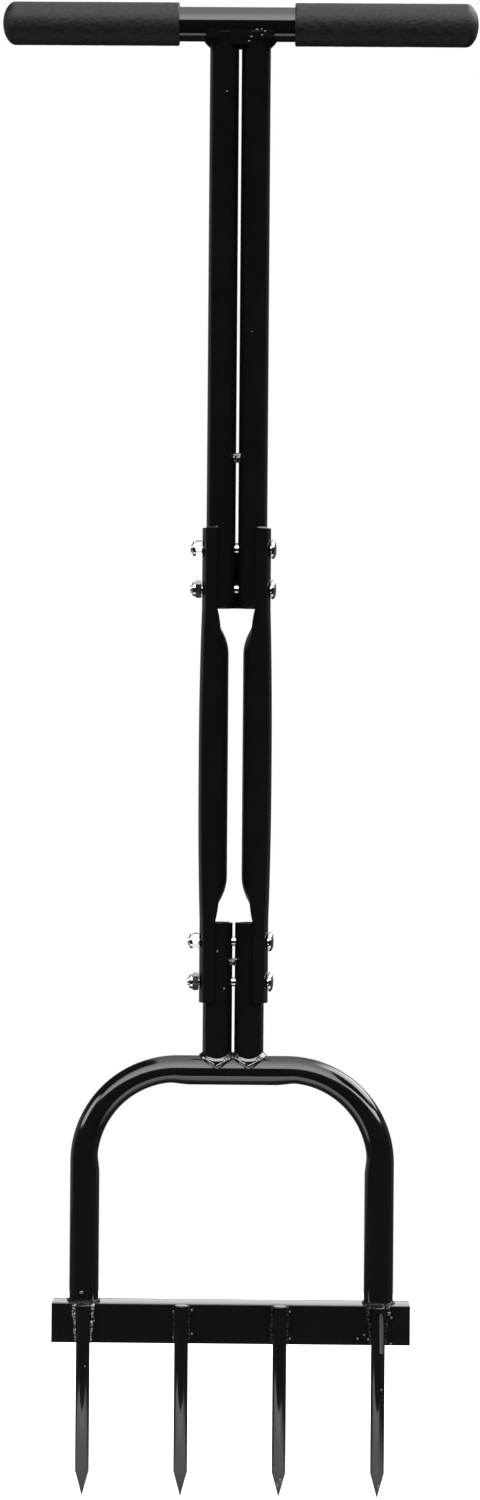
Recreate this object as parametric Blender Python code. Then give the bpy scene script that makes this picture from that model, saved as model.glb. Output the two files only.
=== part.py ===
# Spike aerator: a two-handed lawn tool. A cross handle with two foam grips stands on a pair of
# round tubes. Two longer tubes with pressed, half-round ends are bolted over them and over two
# short stubs, which are welded on a bent tube frame. The frame stands on an angle iron bar, and
# four pointed rods are welded to the front of that bar.
#
# Units are metres. +Z is up, +X is to the viewer's right and -Y is the front of the tool.
# The pieces are laid out from the centre of the bar's top face, below the shaft. They hang on one
# empty, which puts the origin in the middle of the bar's lower edge, where the tool meets the turf.

import math

import bmesh
import bpy
from mathutils import Matrix, Vector

# Gap that keeps two touching pieces apart
CLEARANCE = 0.0003

# Cross handle and grips
HANDLE_DIAMETER = 0.0222
HANDLE_WALL = 0.0012
HANDLE_LENGTH = 0.2950
GRIP_DIAMETER = 0.0277
GRIP_END_THICKNESS = 0.0062
GRIP_DOME_DEPTH = 0.0082
GRIP_MOUTH_RADIUS = 0.0008
LEFT_GRIP_LENGTH = 0.1144
RIGHT_GRIP_LENGTH = 0.1187

# Tubes of the shaft and the frame
TUBE_DIAMETER = 0.0190
TUBE_WALL = 0.0010
TUBE_SPACING = 0.0205
UPPER_TUBE_LENGTH = 0.3784
STUB_LENGTH = 0.0959

# Middle links: round in the middle, pressed into a double-walled half round at both ends
LINK_LENGTH = 0.3071
LINK_OVERLAP = 0.0519
LINK_SPACING = 0.0284
LINK_WALL = 0.0010
CUP_HALF_ANGLE = math.radians(74)
CUP_SLIT = 0.00025
INNER_WALL_EASE = 0.0295
OUTER_WALL_EASE = 0.0900
CREASE_DRIFT = math.radians(36)

# Bolts and nuts of the two joints, M6
BOLT_DIAMETER = 0.0060
BOLT_MARGIN = 0.0134
BOLT_PITCH = 0.0261
BOLT_HEAD_DIAMETER = 0.0126
BOLT_HEAD_HEIGHT = 0.0033
BOLT_HEAD_RIM = 0.0010
BOLT_END_CHAMFER = 0.0008
THREAD_STICKOUT = 0.0012
NUT_ACROSS_FLATS = 0.0100
NUT_HEIGHT = 0.0060
NUT_COLLAR_DIAMETER = 0.0094
NUT_COLLAR_HEIGHT = 0.0020
NUT_COLLAR_ROUNDING = 0.0007
NUT_CHAMFER = 0.0007
NUT_TURNS = (8, 21, 0, 14)

# Bent frame
FRAME_HEIGHT = 0.1501
FRAME_LEG_SPACING = 0.1908
FRAME_BEND_RADIUS = 0.0600
BEND_FLATTENING = 0.0014
BEND_EASE = 0.0070
BEND_END_SHARE = 0.55

# Angle iron bar
BAR_LENGTH = 0.2314
BAR_HEIGHT = 0.0254
BAR_DEPTH = 0.0254
BAR_THICKNESS = 0.0030
BAR_ROOT_RADIUS = 0.0030
BAR_TOE_RADIUS = 0.0010

# Spikes
SPIKE_COUNT = 4
SPIKE_PITCH = 0.0633
SPIKE_DIAMETER = 0.0090
SPIKE_REACH = 0.0970
SPIKE_POINT_LENGTH = 0.0155
SPIKE_TIP_DIAMETER = 0.0006
SPIKE_TOP_CHAMFER = 0.0006

# Weld beads
HANDLE_BEAD_RADIUS = 0.0024
STUB_BEAD_RADIUS = 0.0025
SADDLE_FILL = 0.87
FRONT_BEAD_GROWTH = 0.35
FOOT_BEAD_RADIUS = 0.0018
SPIKE_BEAD_RADIUS = 0.0018
SPIKE_BEAD_REACH = 0.0010
SPIKE_BEAD_MARGIN = 0.0016
TACK_WIDTH = 0.0062
TACK_DEPTH = 0.0050
TACK_HEIGHT = 0.0036
UPPER_TACK_HEIGHT_ABOVE_LINKS = 0.0450
SEAM_DEPTH = 0.0046
SEAM_WIDTH = 0.0056
SEAM_LENGTH = 0.0420

# Fineness of the round shapes
TUBE_SIDES = 20
GRIP_SIDES = 24
BOLT_SIDES = 12
SPIKE_SIDES = 16
BEAD_SIDES = 8
BEAD_STEPS = 18
BEND_STEPS = 8
NUT_SIDES = 18

# Places worked out from the sizes above
TUBE_RADIUS = TUBE_DIAMETER / 2
TUBE_X = TUBE_SPACING / 2
LINK_X = LINK_SPACING / 2
CROSSPIECE_Z = FRAME_HEIGHT
STUB_TOP = CROSSPIECE_Z + STUB_LENGTH
LINK_BOTTOM = STUB_TOP - LINK_OVERLAP
LINK_TOP = LINK_BOTTOM + LINK_LENGTH
UPPER_TUBE_BOTTOM = LINK_TOP - LINK_OVERLAP
HANDLE_Z = UPPER_TUBE_BOTTOM + UPPER_TUBE_LENGTH
FRAME_LEG_X = FRAME_LEG_SPACING / 2
BAR_FRONT = -BAR_DEPTH / 2
SPIKE_Y = BAR_FRONT - CLEARANCE - SPIKE_DIAMETER / 2
CUP_INNER_RADIUS = TUBE_RADIUS + CLEARANCE
CUP_OUTER_RADIUS = CUP_INNER_RADIUS + 2 * LINK_WALL + CUP_SLIT
CUP_CREST = TUBE_X + CUP_OUTER_RADIUS
LOWER_BOLTS = (LINK_BOTTOM + BOLT_MARGIN, LINK_BOTTOM + BOLT_MARGIN + BOLT_PITCH)
UPPER_BOLTS = (LINK_TOP - BOLT_MARGIN - BOLT_PITCH, LINK_TOP - BOLT_MARGIN)
BOLT_HEIGHTS = LOWER_BOLTS + UPPER_BOLTS
GROUND_EDGE_Y = BAR_FRONT + (BAR_THICKNESS - BAR_TOE_RADIUS) / 2


# Scene and materials

def clear_scene():
    for old in list(bpy.data.objects):
        bpy.data.objects.remove(old, do_unlink=True)


def make_material(name, colour, roughness, metallic):
    material = bpy.data.materials.new(name)
    material.use_nodes = True
    shader = material.node_tree.nodes["Principled BSDF"]
    shader.inputs["Base Color"].default_value = (*colour, 1.0)
    shader.inputs["Roughness"].default_value = roughness
    shader.inputs["Metallic"].default_value = metallic
    return material


def make_object(name, bm, material=None, smooth=True):
    mesh = bpy.data.meshes.new(name)
    bmesh.ops.recalc_face_normals(bm, faces=bm.faces[:])
    bm.to_mesh(mesh)
    bm.free()
    if smooth:
        mesh.shade_smooth()
        mesh.set_sharp_from_angle(angle=math.radians(35))
    made = bpy.data.objects.new(name, mesh)
    bpy.context.scene.collection.objects.link(made)
    if material:
        mesh.materials.append(material)
    return made


def make_cutter(name, bm):
    cutter = make_object(name, bm, smooth=False)
    cutter.hide_render = True
    cutter.display_type = "WIRE"
    return cutter


def combine(target, tool, operation):
    modifier = target.modifiers.new(tool.name, "BOOLEAN")
    modifier.operation = operation
    modifier.solver = "EXACT"
    modifier.object = tool


def cut(target, *cutters):
    for cutter in cutters:
        combine(target, cutter, "DIFFERENCE")


# Shape helpers

def ring_edges(bm, ring):
    return [bm.edges.get((ring[i - 1], ring[i])) for i in range(len(ring))]


def loft(sections, closed=False):
    """Extrudes the first outline and moves each new ring of corners to the next outline.

    A closed loft runs back into its first outline. An open one gets a flat cap at both ends.
    """
    bm = bmesh.new()
    first = [bm.verts.new(point) for point in sections[0]]
    for i in range(len(first)):
        bm.edges.new((first[i - 1], first[i]))
    ring = first
    for outline in sections[1:] + (sections[:1] if closed else []):
        bmesh.ops.extrude_edge_only(bm, edges=ring_edges(bm, ring))
        ring = [next(edge.other_vert(vert) for edge in vert.link_edges if edge.calc_length() == 0)
                for vert in ring]
        for vert, point in zip(ring, outline):
            vert.co = point
    if closed:
        bmesh.ops.remove_doubles(bm, verts=first + ring, dist=1e-7)
    else:
        for end in (first, ring):
            bmesh.ops.contextual_create(bm, geom=ring_edges(bm, end))
    return bm


def turned(profile, sides, axis="Z"):
    """A solid of revolution from (radius, height) points; a radius of 0 closes it to a point.

    One that lies along X is rolled by half a side, so that none of its edges meets an edge of an
    upright tube that it crosses.
    """
    bm = bmesh.new()
    verts = [bm.verts.new((radius, 0, height)) for radius, height in profile]
    edges = [bm.edges.new(pair) for pair in zip(verts, verts[1:])]
    bmesh.ops.spin(bm, geom=verts + edges, cent=(0, 0, 0), axis=(0, 0, 1), angle=math.tau,
                   steps=sides, use_merge=True)
    bmesh.ops.remove_doubles(bm, verts=bm.verts[:], dist=1e-6)
    if axis == "X":
        roll = Matrix.Rotation(math.pi / 2, 3, "Y") @ Matrix.Rotation(math.pi / sides, 3, "Z")
        bmesh.ops.rotate(bm, verts=bm.verts[:], cent=(0, 0, 0), matrix=roll)
    return bm


def round_tube(outer_radius, wall, low, high, sides=TUBE_SIDES):
    inner_radius = outer_radius - wall
    profile = [(inner_radius, low), (outer_radius, low), (outer_radius, high), (inner_radius, high),
               (inner_radius, low)]
    return turned(profile, sides)


def round_rod(radius, low, high, sides=TUBE_SIDES, axis="Z"):
    return turned([(0, low), (radius, low), (radius, high), (0, high)], sides, axis)


def block(low, high):
    bm = bmesh.new()
    bmesh.ops.create_cube(bm, size=1)
    size = Vector(high) - Vector(low)
    middle = (Vector(high) + Vector(low)) / 2
    bmesh.ops.scale(bm, verts=bm.verts[:], vec=size)
    bmesh.ops.translate(bm, verts=bm.verts[:], vec=middle)
    return bm


def ring_bead(path, radii):
    """A round bead swept along a closed list of points, with its own radius at each point."""
    rings = []
    for i, (point, radius) in enumerate(zip(path, radii)):
        ahead = path[(i + 1) % len(path)] - path[i - 1]
        across = ahead.cross(Vector((0, 0, 1))).normalized()
        rise = across.cross(ahead).normalized()
        rings.append([point + (across * math.cos(turn) + rise * math.sin(turn)) * radius
                      for turn in (math.tau * side / BEAD_SIDES for side in range(BEAD_SIDES))])
    return loft(rings, closed=True)


def round_ended_rod(radius, low, high, sides):
    """A rod along Z whose two ends are rounded off, as a straight bead of weld is."""
    profile = [(0, low)]
    profile += [(radius * math.sin(turn), low + radius * (1 - math.cos(turn)))
                for turn in (math.pi / 4, math.pi / 2)]
    profile += [(radius * math.cos(turn), high - radius * (1 - math.sin(turn)))
                for turn in (0, math.pi / 4)]
    profile.append((0, high))
    return turned(profile, sides)


def egg(middle, size):
    bm = bmesh.new()
    bmesh.ops.create_uvsphere(bm, u_segments=10, v_segments=6, radius=0.5)
    bmesh.ops.scale(bm, verts=bm.verts[:], vec=Vector(size))
    bmesh.ops.translate(bm, verts=bm.verts[:], vec=Vector(middle))
    return bm


# Cross handle

def build_handle_bar(material):
    bar = make_object("handle_bar", round_tube(HANDLE_DIAMETER / 2, HANDLE_WALL, -HANDLE_LENGTH / 2,
                                               HANDLE_LENGTH / 2), material)
    bar.location = (0, 0, HANDLE_Z)
    bar.rotation_euler = (0, math.pi / 2, 0)
    return bar


def grip_profile(length):
    """Half outline of a foam sleeve along its own axis: the mouth at 0, the closed end at length."""
    outer = GRIP_DIAMETER / 2
    bore = HANDLE_DIAMETER / 2 + CLEARANCE
    floor = length - GRIP_END_THICKNESS
    dome = length - GRIP_DOME_DEPTH
    outline = [(0, floor), (bore, floor), (bore, 0), (outer - GRIP_MOUTH_RADIUS, 0),
               (outer, GRIP_MOUTH_RADIUS)]
    for step in range(5):
        turn = math.pi / 2 * step / 4
        outline.append((outer * math.cos(turn), dome + GRIP_DOME_DEPTH * math.sin(turn)))
    return outline


def build_grip(name, side, length, material):
    grip = make_object(name, turned(grip_profile(length), GRIP_SIDES), material)
    mouth = HANDLE_LENGTH / 2 + CLEARANCE + GRIP_END_THICKNESS - length
    grip.location = (side * mouth, 0, HANDLE_Z)
    grip.rotation_euler = (0, side * math.pi / 2, 0)
    return grip


# Shaft tubes

def bolt_hole_cutters(name, side, heights):
    """One cutter along X for each bolt, reaching through both shaft tubes and both links."""
    reach = CUP_CREST + CLEARANCE
    cutters = []
    for number, height in enumerate(heights, 1):
        bm = round_rod(BOLT_DIAMETER / 2 + CLEARANCE, 0, reach, BOLT_SIDES, axis="X")
        cutter = make_cutter(f"{name}_hole_{number}", bm)
        cutter.location = (0, 0, height)
        if side < 0:
            cutter.rotation_euler = (0, 0, math.pi)
        cutters.append(cutter)
    return cutters


def build_saddle_cutter(name, radius, length, height):
    """A solid rod along X, a little wider than the cross tube that a shaft tube is shaped to."""
    cutter = make_cutter(name, round_rod(radius + CLEARANCE, -length / 2, length / 2, axis="X"))
    cutter.location = (0, 0, height)
    return cutter


def build_upper_tube(name, side, saddle, material):
    tube = make_object(name, round_tube(TUBE_RADIUS, TUBE_WALL, UPPER_TUBE_BOTTOM, HANDLE_Z), material)
    tube.location = (side * TUBE_X, 0, 0)
    cut(tube, saddle, *bolt_hole_cutters(name, side, UPPER_BOLTS))
    return tube


def build_lower_stub(name, side, saddle, material):
    stub = make_object(name, round_tube(TUBE_RADIUS, TUBE_WALL, CROSSPIECE_Z, STUB_TOP), material)
    stub.location = (side * TUBE_X, 0, 0)
    cut(stub, saddle, *bolt_hole_cutters(name, side, LOWER_BOLTS))
    return stub


# Middle links

def cup_outline():
    """Middle line of the pressed end as (point, outward normal) pairs, from the crest and back.

    The tube's outer half stays outside. Its inner half is pressed against it, and the two meet in
    a narrow fold at each edge of the half round.
    """
    outer = CUP_OUTER_RADIUS - LINK_WALL / 2
    inner = CUP_INNER_RADIUS + LINK_WALL / 2
    fold = (outer - inner) / 2
    middle = (outer + inner) / 2
    half = CUP_HALF_ANGLE
    samples = []
    for step in range(6):
        turn = half * step / 5
        normal = Vector((math.cos(turn), math.sin(turn)))
        samples.append((normal * outer, normal))
    centre = Vector((math.cos(half), math.sin(half))) * middle
    for step in range(1, 3):
        turn = half + math.pi * step / 3
        normal = Vector((math.cos(turn), math.sin(turn)))
        samples.append((centre + normal * fold, normal))
    for step in range(6):
        turn = half * (1 - step / 5)
        normal = Vector((math.cos(turn), math.sin(turn)))
        samples.append((normal * inner, -normal))
    mirrored = [(Vector((point.x, -point.y)), Vector((normal.x, -normal.y)))
                for point, normal in reversed(samples[1:-1])]
    return samples + mirrored


def link_section(cup, inner_blend, outer_blend, skin_offset):
    """One cross-section: the cup's outline where both blends are 0, a round tube where both are 1.

    The two creases run together on the inner side as they fade, as they do on a pressed tube, so
    their points drift round the tube until its outer half is round too.
    """
    lengths = [0.0]
    for (first, _), (second, _) in zip(cup, cup[1:] + cup[:1]):
        lengths.append(lengths[-1] + (second - first).length)
    mean_radius = TUBE_RADIUS - LINK_WALL / 2
    section = []
    for (point, normal), travelled in zip(cup, lengths):
        turn = math.tau * travelled / lengths[-1]
        turn += CREASE_DRIFT * (1 - outer_blend) * math.sin(turn)
        round_normal = Vector((math.cos(turn), math.sin(turn)))
        round_point = Vector((LINK_X - TUBE_X, 0)) + round_normal * mean_radius
        outwardness = (1 + round_normal.x) / 2
        blend = inner_blend * (1 - outwardness) + outer_blend * outwardness
        middle = point.lerp(round_point, blend)
        way_out = normal.lerp(round_normal, blend).normalized()
        section.append(middle + way_out * skin_offset)
    return section


def ease_out(distance, length):
    share = min(max(distance / length, 0.0), 1.0)
    return 1 - (1 - share) ** 2


def link_stations():
    """Heights of the cross-sections of a link, measured from its lower end, up to its middle."""
    start = LINK_OVERLAP + CLEARANCE
    stations = [0.0, start]
    for share in (0.12, 0.3, 0.55, 1.0):
        stations.append(start + INNER_WALL_EASE * share)
    stations.append(start + (INNER_WALL_EASE + OUTER_WALL_EASE) / 2)
    stations.append(start + OUTER_WALL_EASE)
    return [height for height in stations if height < LINK_LENGTH / 2]


def build_mid_link(name, side, material):
    cup = cup_outline()
    start = LINK_OVERLAP + CLEARANCE
    lower_half = link_stations()
    heights = lower_half + [LINK_LENGTH - height for height in reversed(lower_half)]
    skins = []
    for skin_offset in (LINK_WALL / 2, -LINK_WALL / 2):
        skin = []
        for height in heights:
            distance = min(height, LINK_LENGTH - height) - start
            section = link_section(cup, ease_out(distance, INNER_WALL_EASE),
                                   ease_out(distance, OUTER_WALL_EASE), skin_offset)
            skin.append([(side * (TUBE_X + x), y, LINK_BOTTOM + height) for x, y in section])
        skins.append(skin)
    outer_skin, inner_skin = skins
    link = make_object(name, loft(outer_skin + inner_skin[::-1], closed=True), material)
    cut(link, *bolt_hole_cutters(name, side, BOLT_HEIGHTS))
    return link


# Bolts and nuts

def bolt_profile():
    """Half outline along the bolt's axis: the head's crown at the top, the thread's end below."""
    shank = BOLT_DIAMETER / 2
    head = BOLT_HEAD_DIAMETER / 2
    seat = CUP_CREST + CLEARANCE
    end = -(CUP_CREST + CLEARANCE + NUT_HEIGHT + THREAD_STICKOUT)
    rim = seat + BOLT_HEAD_RIM
    outline = [(0, end), (shank - BOLT_END_CHAMFER, end), (shank, end + BOLT_END_CHAMFER), (shank, seat),
               (head, seat), (head, rim)]
    for step in range(1, 4):
        turn = math.pi / 2 * step / 4
        outline.append((head * math.cos(turn), rim + (BOLT_HEAD_HEIGHT - BOLT_HEAD_RIM) * math.sin(turn)))
    outline.append((0, seat + BOLT_HEAD_HEIGHT))
    return outline


def build_bolt(number, height, material):
    bolt = make_object(f"bolt_{number}", turned(bolt_profile(), BOLT_SIDES, axis="X"), material)
    bolt.location = (0, 0, height)
    return bolt


def hexagon_radius(turn, across_flats):
    corner = math.radians(60)
    return across_flats / 2 / math.cos(turn % corner - corner / 2)


def build_nut(number, height, material):
    """A lock nut: a chamfered hexagon with a round collar on its outer side."""
    hole = BOLT_DIAMETER / 2 + CLEARANCE
    face = NUT_ACROSS_FLATS / 2
    collar = NUT_COLLAR_DIAMETER / 2
    hexagon_top = NUT_HEIGHT - NUT_COLLAR_HEIGHT
    rings = [(hole, 0.0), (face, 0.0), ("hexagon", NUT_CHAMFER), ("hexagon", hexagon_top - NUT_CHAMFER),
             (collar, hexagon_top), (collar - NUT_COLLAR_ROUNDING, NUT_HEIGHT), (hole, NUT_HEIGHT)]
    sections = []
    for radius, rise in rings:
        section = []
        for turn in (math.tau * side / NUT_SIDES for side in range(NUT_SIDES)):
            reach = hexagon_radius(turn, NUT_ACROSS_FLATS) if radius == "hexagon" else radius
            section.append((-rise, reach * math.sin(turn), reach * math.cos(turn)))
        sections.append(section)
    nut = make_object(f"nut_{number}", loft(sections, closed=True), material)
    nut.location = (-(CUP_CREST + CLEARANCE), 0, height)
    nut.rotation_euler = (math.radians(NUT_TURNS[number - 1]), 0, 0)
    return nut


# Bent frame

def frame_path():
    """Stations along the frame's middle line, each (point, way into the bend, flattening)."""
    radius = FRAME_BEND_RADIUS
    foot = CLEARANCE
    bend_x = FRAME_LEG_X - radius
    bend_z = CROSSPIECE_Z - radius
    half = [(Vector((-FRAME_LEG_X, 0, foot)), Vector((1, 0, 0)), 0.0),
            (Vector((-FRAME_LEG_X, 0, bend_z - BEND_EASE)), Vector((1, 0, 0)), 0.0)]
    for step in range(BEND_STEPS + 1):
        turn = math.pi / 2 * step / BEND_STEPS
        inward = Vector((math.cos(turn), 0, -math.sin(turn)))
        flattening = BEND_FLATTENING * (BEND_END_SHARE if step in (0, BEND_STEPS) else 1.0)
        half.append((Vector((-bend_x, 0, bend_z)) - inward * radius, inward, flattening))
    half.append((Vector((-bend_x + BEND_EASE, 0, CROSSPIECE_Z)), Vector((0, 0, -1)), 0.0))
    other = [(Vector((-point.x, 0, point.z)), Vector((-inward.x, 0, inward.z)), flattening)
             for point, inward, flattening in reversed(half)]
    return half + other


def build_u_frame(material):
    """The bent tube. Its bends are flattened on the inside, as thin tube is on a bending former."""
    skins = []
    for radius in (TUBE_RADIUS, TUBE_RADIUS - TUBE_WALL):
        skin = []
        for point, inward, flattening in frame_path():
            ring = []
            for side in range(TUBE_SIDES):
                turn = math.tau * side / TUBE_SIDES
                reach = radius * math.cos(turn) - flattening * max(0.0, math.cos(turn)) ** 2
                ring.append(point + inward * reach + Vector((0, radius * math.sin(turn), 0)))
            skin.append(ring)
        skins.append(skin)
    outer_skin, inner_skin = skins
    return make_object("u_frame", loft(outer_skin + inner_skin[::-1], closed=True), material)


# Bar and spikes

def corner_arc(centre_y, centre_z, radius, start, end, steps=3):
    points = []
    for step in range(steps + 1):
        turn = math.radians(start + (end - start) * step / steps)
        points.append((centre_y + radius * math.cos(turn), centre_z + radius * math.sin(turn)))
    return points


def build_spike_bar(material):
    """Angle iron: one leg faces forwards, the other lies back under the foot."""
    back = BAR_FRONT + BAR_DEPTH
    inner_y = BAR_FRONT + BAR_THICKNESS
    inner_z = -BAR_THICKNESS
    toe = BAR_TOE_RADIUS
    root = BAR_ROOT_RADIUS
    outline = [(BAR_FRONT, -BAR_HEIGHT)]
    outline += corner_arc(inner_y - toe, -BAR_HEIGHT + toe, toe, -90, 0)
    outline += corner_arc(inner_y + root, inner_z - root, root, 180, 90)
    outline += corner_arc(back - toe, inner_z + toe, toe, -90, 0)
    outline += [(back, 0), (BAR_FRONT, 0)]
    ends = [[(x, y, z) for y, z in outline] for x in (-BAR_LENGTH / 2, BAR_LENGTH / 2)]
    return make_object("spike_bar", loft(ends), material)


def spike_places():
    first = -(SPIKE_COUNT - 1) / 2 * SPIKE_PITCH
    return [first + SPIKE_PITCH * i for i in range(SPIKE_COUNT)]


def build_spike(number, x, material):
    radius = SPIKE_DIAMETER / 2
    tip = -BAR_HEIGHT - SPIKE_REACH
    shoulder = tip + SPIKE_POINT_LENGTH
    outline = [(0, tip), (SPIKE_TIP_DIAMETER / 2, tip), (radius, shoulder), (radius, -SPIKE_TOP_CHAMFER),
               (radius - SPIKE_TOP_CHAMFER, 0), (0, 0)]
    spike = make_object(f"spike_{number}", turned(outline, SPIKE_SIDES), material)
    spike.location = (x, SPIKE_Y, 0)
    return spike


# Welds

def tube_keepouts():
    """Solid rods a little wider than the shaft tubes and the parts they stand on."""
    keepouts = {}
    for name, side in (("left", -1), ("right", 1)):
        upper = make_cutter(f"keepout_upper_{name}",
                            round_rod(TUBE_RADIUS + CLEARANCE, UPPER_TUBE_BOTTOM - TUBE_DIAMETER, HANDLE_Z))
        upper.location = (side * TUBE_X, 0, 0)
        stub = make_cutter(f"keepout_stub_{name}",
                           round_rod(TUBE_RADIUS + CLEARANCE, CROSSPIECE_Z, STUB_TOP + TUBE_DIAMETER))
        stub.location = (side * TUBE_X, 0, 0)
        keepouts[f"upper_{name}"] = upper
        keepouts[f"stub_{name}"] = stub
    keepouts["bar"] = make_cutter("keepout_bar",
                                  block((-BAR_LENGTH, BAR_FRONT - CLEARANCE, -BAR_HEIGHT - CLEARANCE),
                                        (BAR_LENGTH, BAR_FRONT + BAR_DEPTH + CLEARANCE, CLEARANCE)))
    return keepouts


def saddle_ring(side, base_z, base_radius, upwards, bead_radius):
    """A bead where a shaft tube meets the round tube that crosses it.

    It fills the saddle at the front and the back, where the two tubes lie almost side by side, so
    it runs a little away from the true line there and is thicker.
    """
    path = []
    radii = []
    for step in range(BEAD_STEPS):
        turn = math.tau * step / BEAD_STEPS
        y = TUBE_RADIUS * math.sin(turn)
        rise = math.sqrt(base_radius ** 2 - (SADDLE_FILL * y) ** 2)
        path.append(Vector((side * TUBE_X + TUBE_RADIUS * math.cos(turn), y, base_z + upwards * rise)))
        radii.append(bead_radius * (1 + FRONT_BEAD_GROWTH * math.sin(turn) ** 4))
    return ring_bead(path, radii)


def build_saddle_weld(name, base_z, base_radius, upwards, bead_radius, keepouts, material):
    """One bead round both shaft tubes: two rings that run together in the gap between the tubes."""
    weld = make_object(name, saddle_ring(-1, base_z, base_radius, upwards, bead_radius), material)
    right = make_cutter(f"{name}_right_ring", saddle_ring(1, base_z, base_radius, upwards, bead_radius))
    combine(weld, right, "UNION")
    cut(weld, *keepouts)
    return weld


def build_foot_weld(name, side, material):
    """A rounded fillet in the corner between a leg and the top of the bar."""
    inner = TUBE_RADIUS + CLEARANCE
    reach = FOOT_BEAD_RADIUS - CLEARANCE
    profile = [(inner, CLEARANCE)]
    for step in range(4):
        turn = math.pi / 2 * step / 3
        profile.append((inner + reach * math.cos(turn), CLEARANCE + reach * math.sin(turn)))
    weld = make_object(name, turned(profile + profile[:1], TUBE_SIDES), material)
    weld.location = (side * FRAME_LEG_X, 0, 0)
    return weld


def build_spike_weld(name, side, x, rod_keepout, bar_keepout, material):
    """A vertical bead in the corner between a spike and the bar's front face."""
    bead_x = x + side * (SPIKE_DIAMETER / 2 + CLEARANCE)
    bead_y = BAR_FRONT - CLEARANCE - SPIKE_BEAD_REACH
    bead = round_ended_rod(SPIKE_BEAD_RADIUS, -BAR_HEIGHT + SPIKE_BEAD_MARGIN, -SPIKE_BEAD_MARGIN, BEAD_SIDES)
    weld = make_object(name, bead, material)
    weld.location = (bead_x, bead_y, 0)
    cut(weld, rod_keepout, bar_keepout)
    return weld


def build_groove_weld(name, middle, size, keepouts, material):
    weld = make_object(name, egg(middle, size), material)
    cut(weld, *keepouts)
    return weld


def groove_depth(half_width):
    """How far from the middle plane the gap between the shaft tubes is this wide."""
    return math.sqrt(TUBE_RADIUS ** 2 - (TUBE_X - half_width) ** 2)


def build_seam_weld(keepouts, material):
    """A bead down the back of the groove between the upper tubes, behind their two bolts."""
    low = UPPER_TUBE_BOTTOM + CLEARANCE
    middle_y = BOLT_DIAMETER / 2 + CLEARANCE + SEAM_DEPTH / 2
    bead = round_ended_rod(SEAM_WIDTH / 2, low, low + SEAM_LENGTH, BEAD_SIDES)
    bmesh.ops.scale(bead, verts=bead.verts[:], vec=(1, SEAM_DEPTH / SEAM_WIDTH, 1))
    bmesh.ops.translate(bead, verts=bead.verts[:], vec=(0, middle_y, 0))
    weld = make_object("upper_seam_weld", bead, material)
    cut(weld, *keepouts)
    return weld


def build_welds(handle_saddle, frame_saddle, material):
    keepouts = tube_keepouts()
    upper = (keepouts["upper_left"], keepouts["upper_right"])
    stubs = (keepouts["stub_left"], keepouts["stub_right"])
    build_saddle_weld("handle_weld", HANDLE_Z, HANDLE_DIAMETER / 2, -1, HANDLE_BEAD_RADIUS,
                      (*upper, handle_saddle), material)
    build_saddle_weld("stub_weld", CROSSPIECE_Z, TUBE_RADIUS, 1, STUB_BEAD_RADIUS,
                      (*stubs, frame_saddle), material)
    tack_y = -groove_depth(TACK_WIDTH / 2 - CLEARANCE)
    tack_size = (TACK_WIDTH, TACK_DEPTH, TACK_HEIGHT)
    build_groove_weld("upper_tack_weld", (0, tack_y, LINK_TOP + UPPER_TACK_HEIGHT_ABOVE_LINKS), tack_size,
                      upper, material)
    build_groove_weld("lower_tack_weld", (0, tack_y, sum(LOWER_BOLTS) / 2), tack_size, stubs, material)
    build_seam_weld(upper, material)
    for name, side in (("left", -1), ("right", 1)):
        build_foot_weld(f"{name}_foot_weld", side, material)
    for number, x in enumerate(spike_places(), 1):
        rod = make_cutter(f"keepout_spike_{number}",
                          round_rod(SPIKE_DIAMETER / 2 + CLEARANCE, -BAR_HEIGHT * 2, BAR_HEIGHT, SPIKE_SIDES))
        rod.location = (x, SPIKE_Y, 0)
        for name, side in (("left", -1), ("right", 1)):
            build_spike_weld(f"spike_{number}_{name}_weld", side, x, rod, keepouts["bar"], material)


def main():
    clear_scene()
    black_paint = make_material("black gloss paint", (0.006, 0.006, 0.006), 0.12, 0.0)
    foam = make_material("dark grey foam", (0.035, 0.035, 0.036), 0.85, 0.0)
    zinc = make_material("bright zinc", (0.75, 0.75, 0.76), 0.22, 1.0)

    build_handle_bar(black_paint)
    build_grip("left_grip", -1, LEFT_GRIP_LENGTH, foam)
    build_grip("right_grip", 1, RIGHT_GRIP_LENGTH, foam)

    handle_saddle = build_saddle_cutter("handle_saddle", HANDLE_DIAMETER / 2, HANDLE_LENGTH, HANDLE_Z)
    frame_saddle = build_saddle_cutter("frame_saddle", TUBE_RADIUS, FRAME_LEG_SPACING, CROSSPIECE_Z)
    for name, side in (("left", -1), ("right", 1)):
        build_upper_tube(f"{name}_upper_tube", side, handle_saddle, black_paint)
        build_mid_link(f"{name}_mid_link", side, black_paint)
        build_lower_stub(f"{name}_lower_stub", side, frame_saddle, black_paint)

    for number, height in enumerate(BOLT_HEIGHTS, 1):
        build_bolt(number, height, zinc)
        build_nut(number, height, zinc)

    build_u_frame(black_paint)
    build_spike_bar(black_paint)
    for number, x in enumerate(spike_places(), 1):
        build_spike(number, x, black_paint)
    build_welds(handle_saddle, frame_saddle, black_paint)

    tool = bpy.data.objects.new("aerator", None)
    bpy.context.scene.collection.objects.link(tool)
    for piece in list(bpy.data.objects):
        if piece is not tool:
            piece.parent = tool
    tool.location = (0, -GROUND_EDGE_Y, BAR_HEIGHT)


main()
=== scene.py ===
# %% [markdown]
# A spike aerator, dressed for its picture
#
# The tool is a cross handle with two foam grips on a pair of round tubes. Two longer tubes with
# pressed ends are bolted over them and over two short stubs. The stubs are welded on a bent tube
# frame, the frame stands on an angle iron bar, and four pointed rods are welded to that bar.
#
# The sizes come from the CAD model, which is loaded here as a fixed frame. Each CAD solid is then
# replaced by a finer piece in the same place, so that edges, beads of weld and finishes show.

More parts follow.
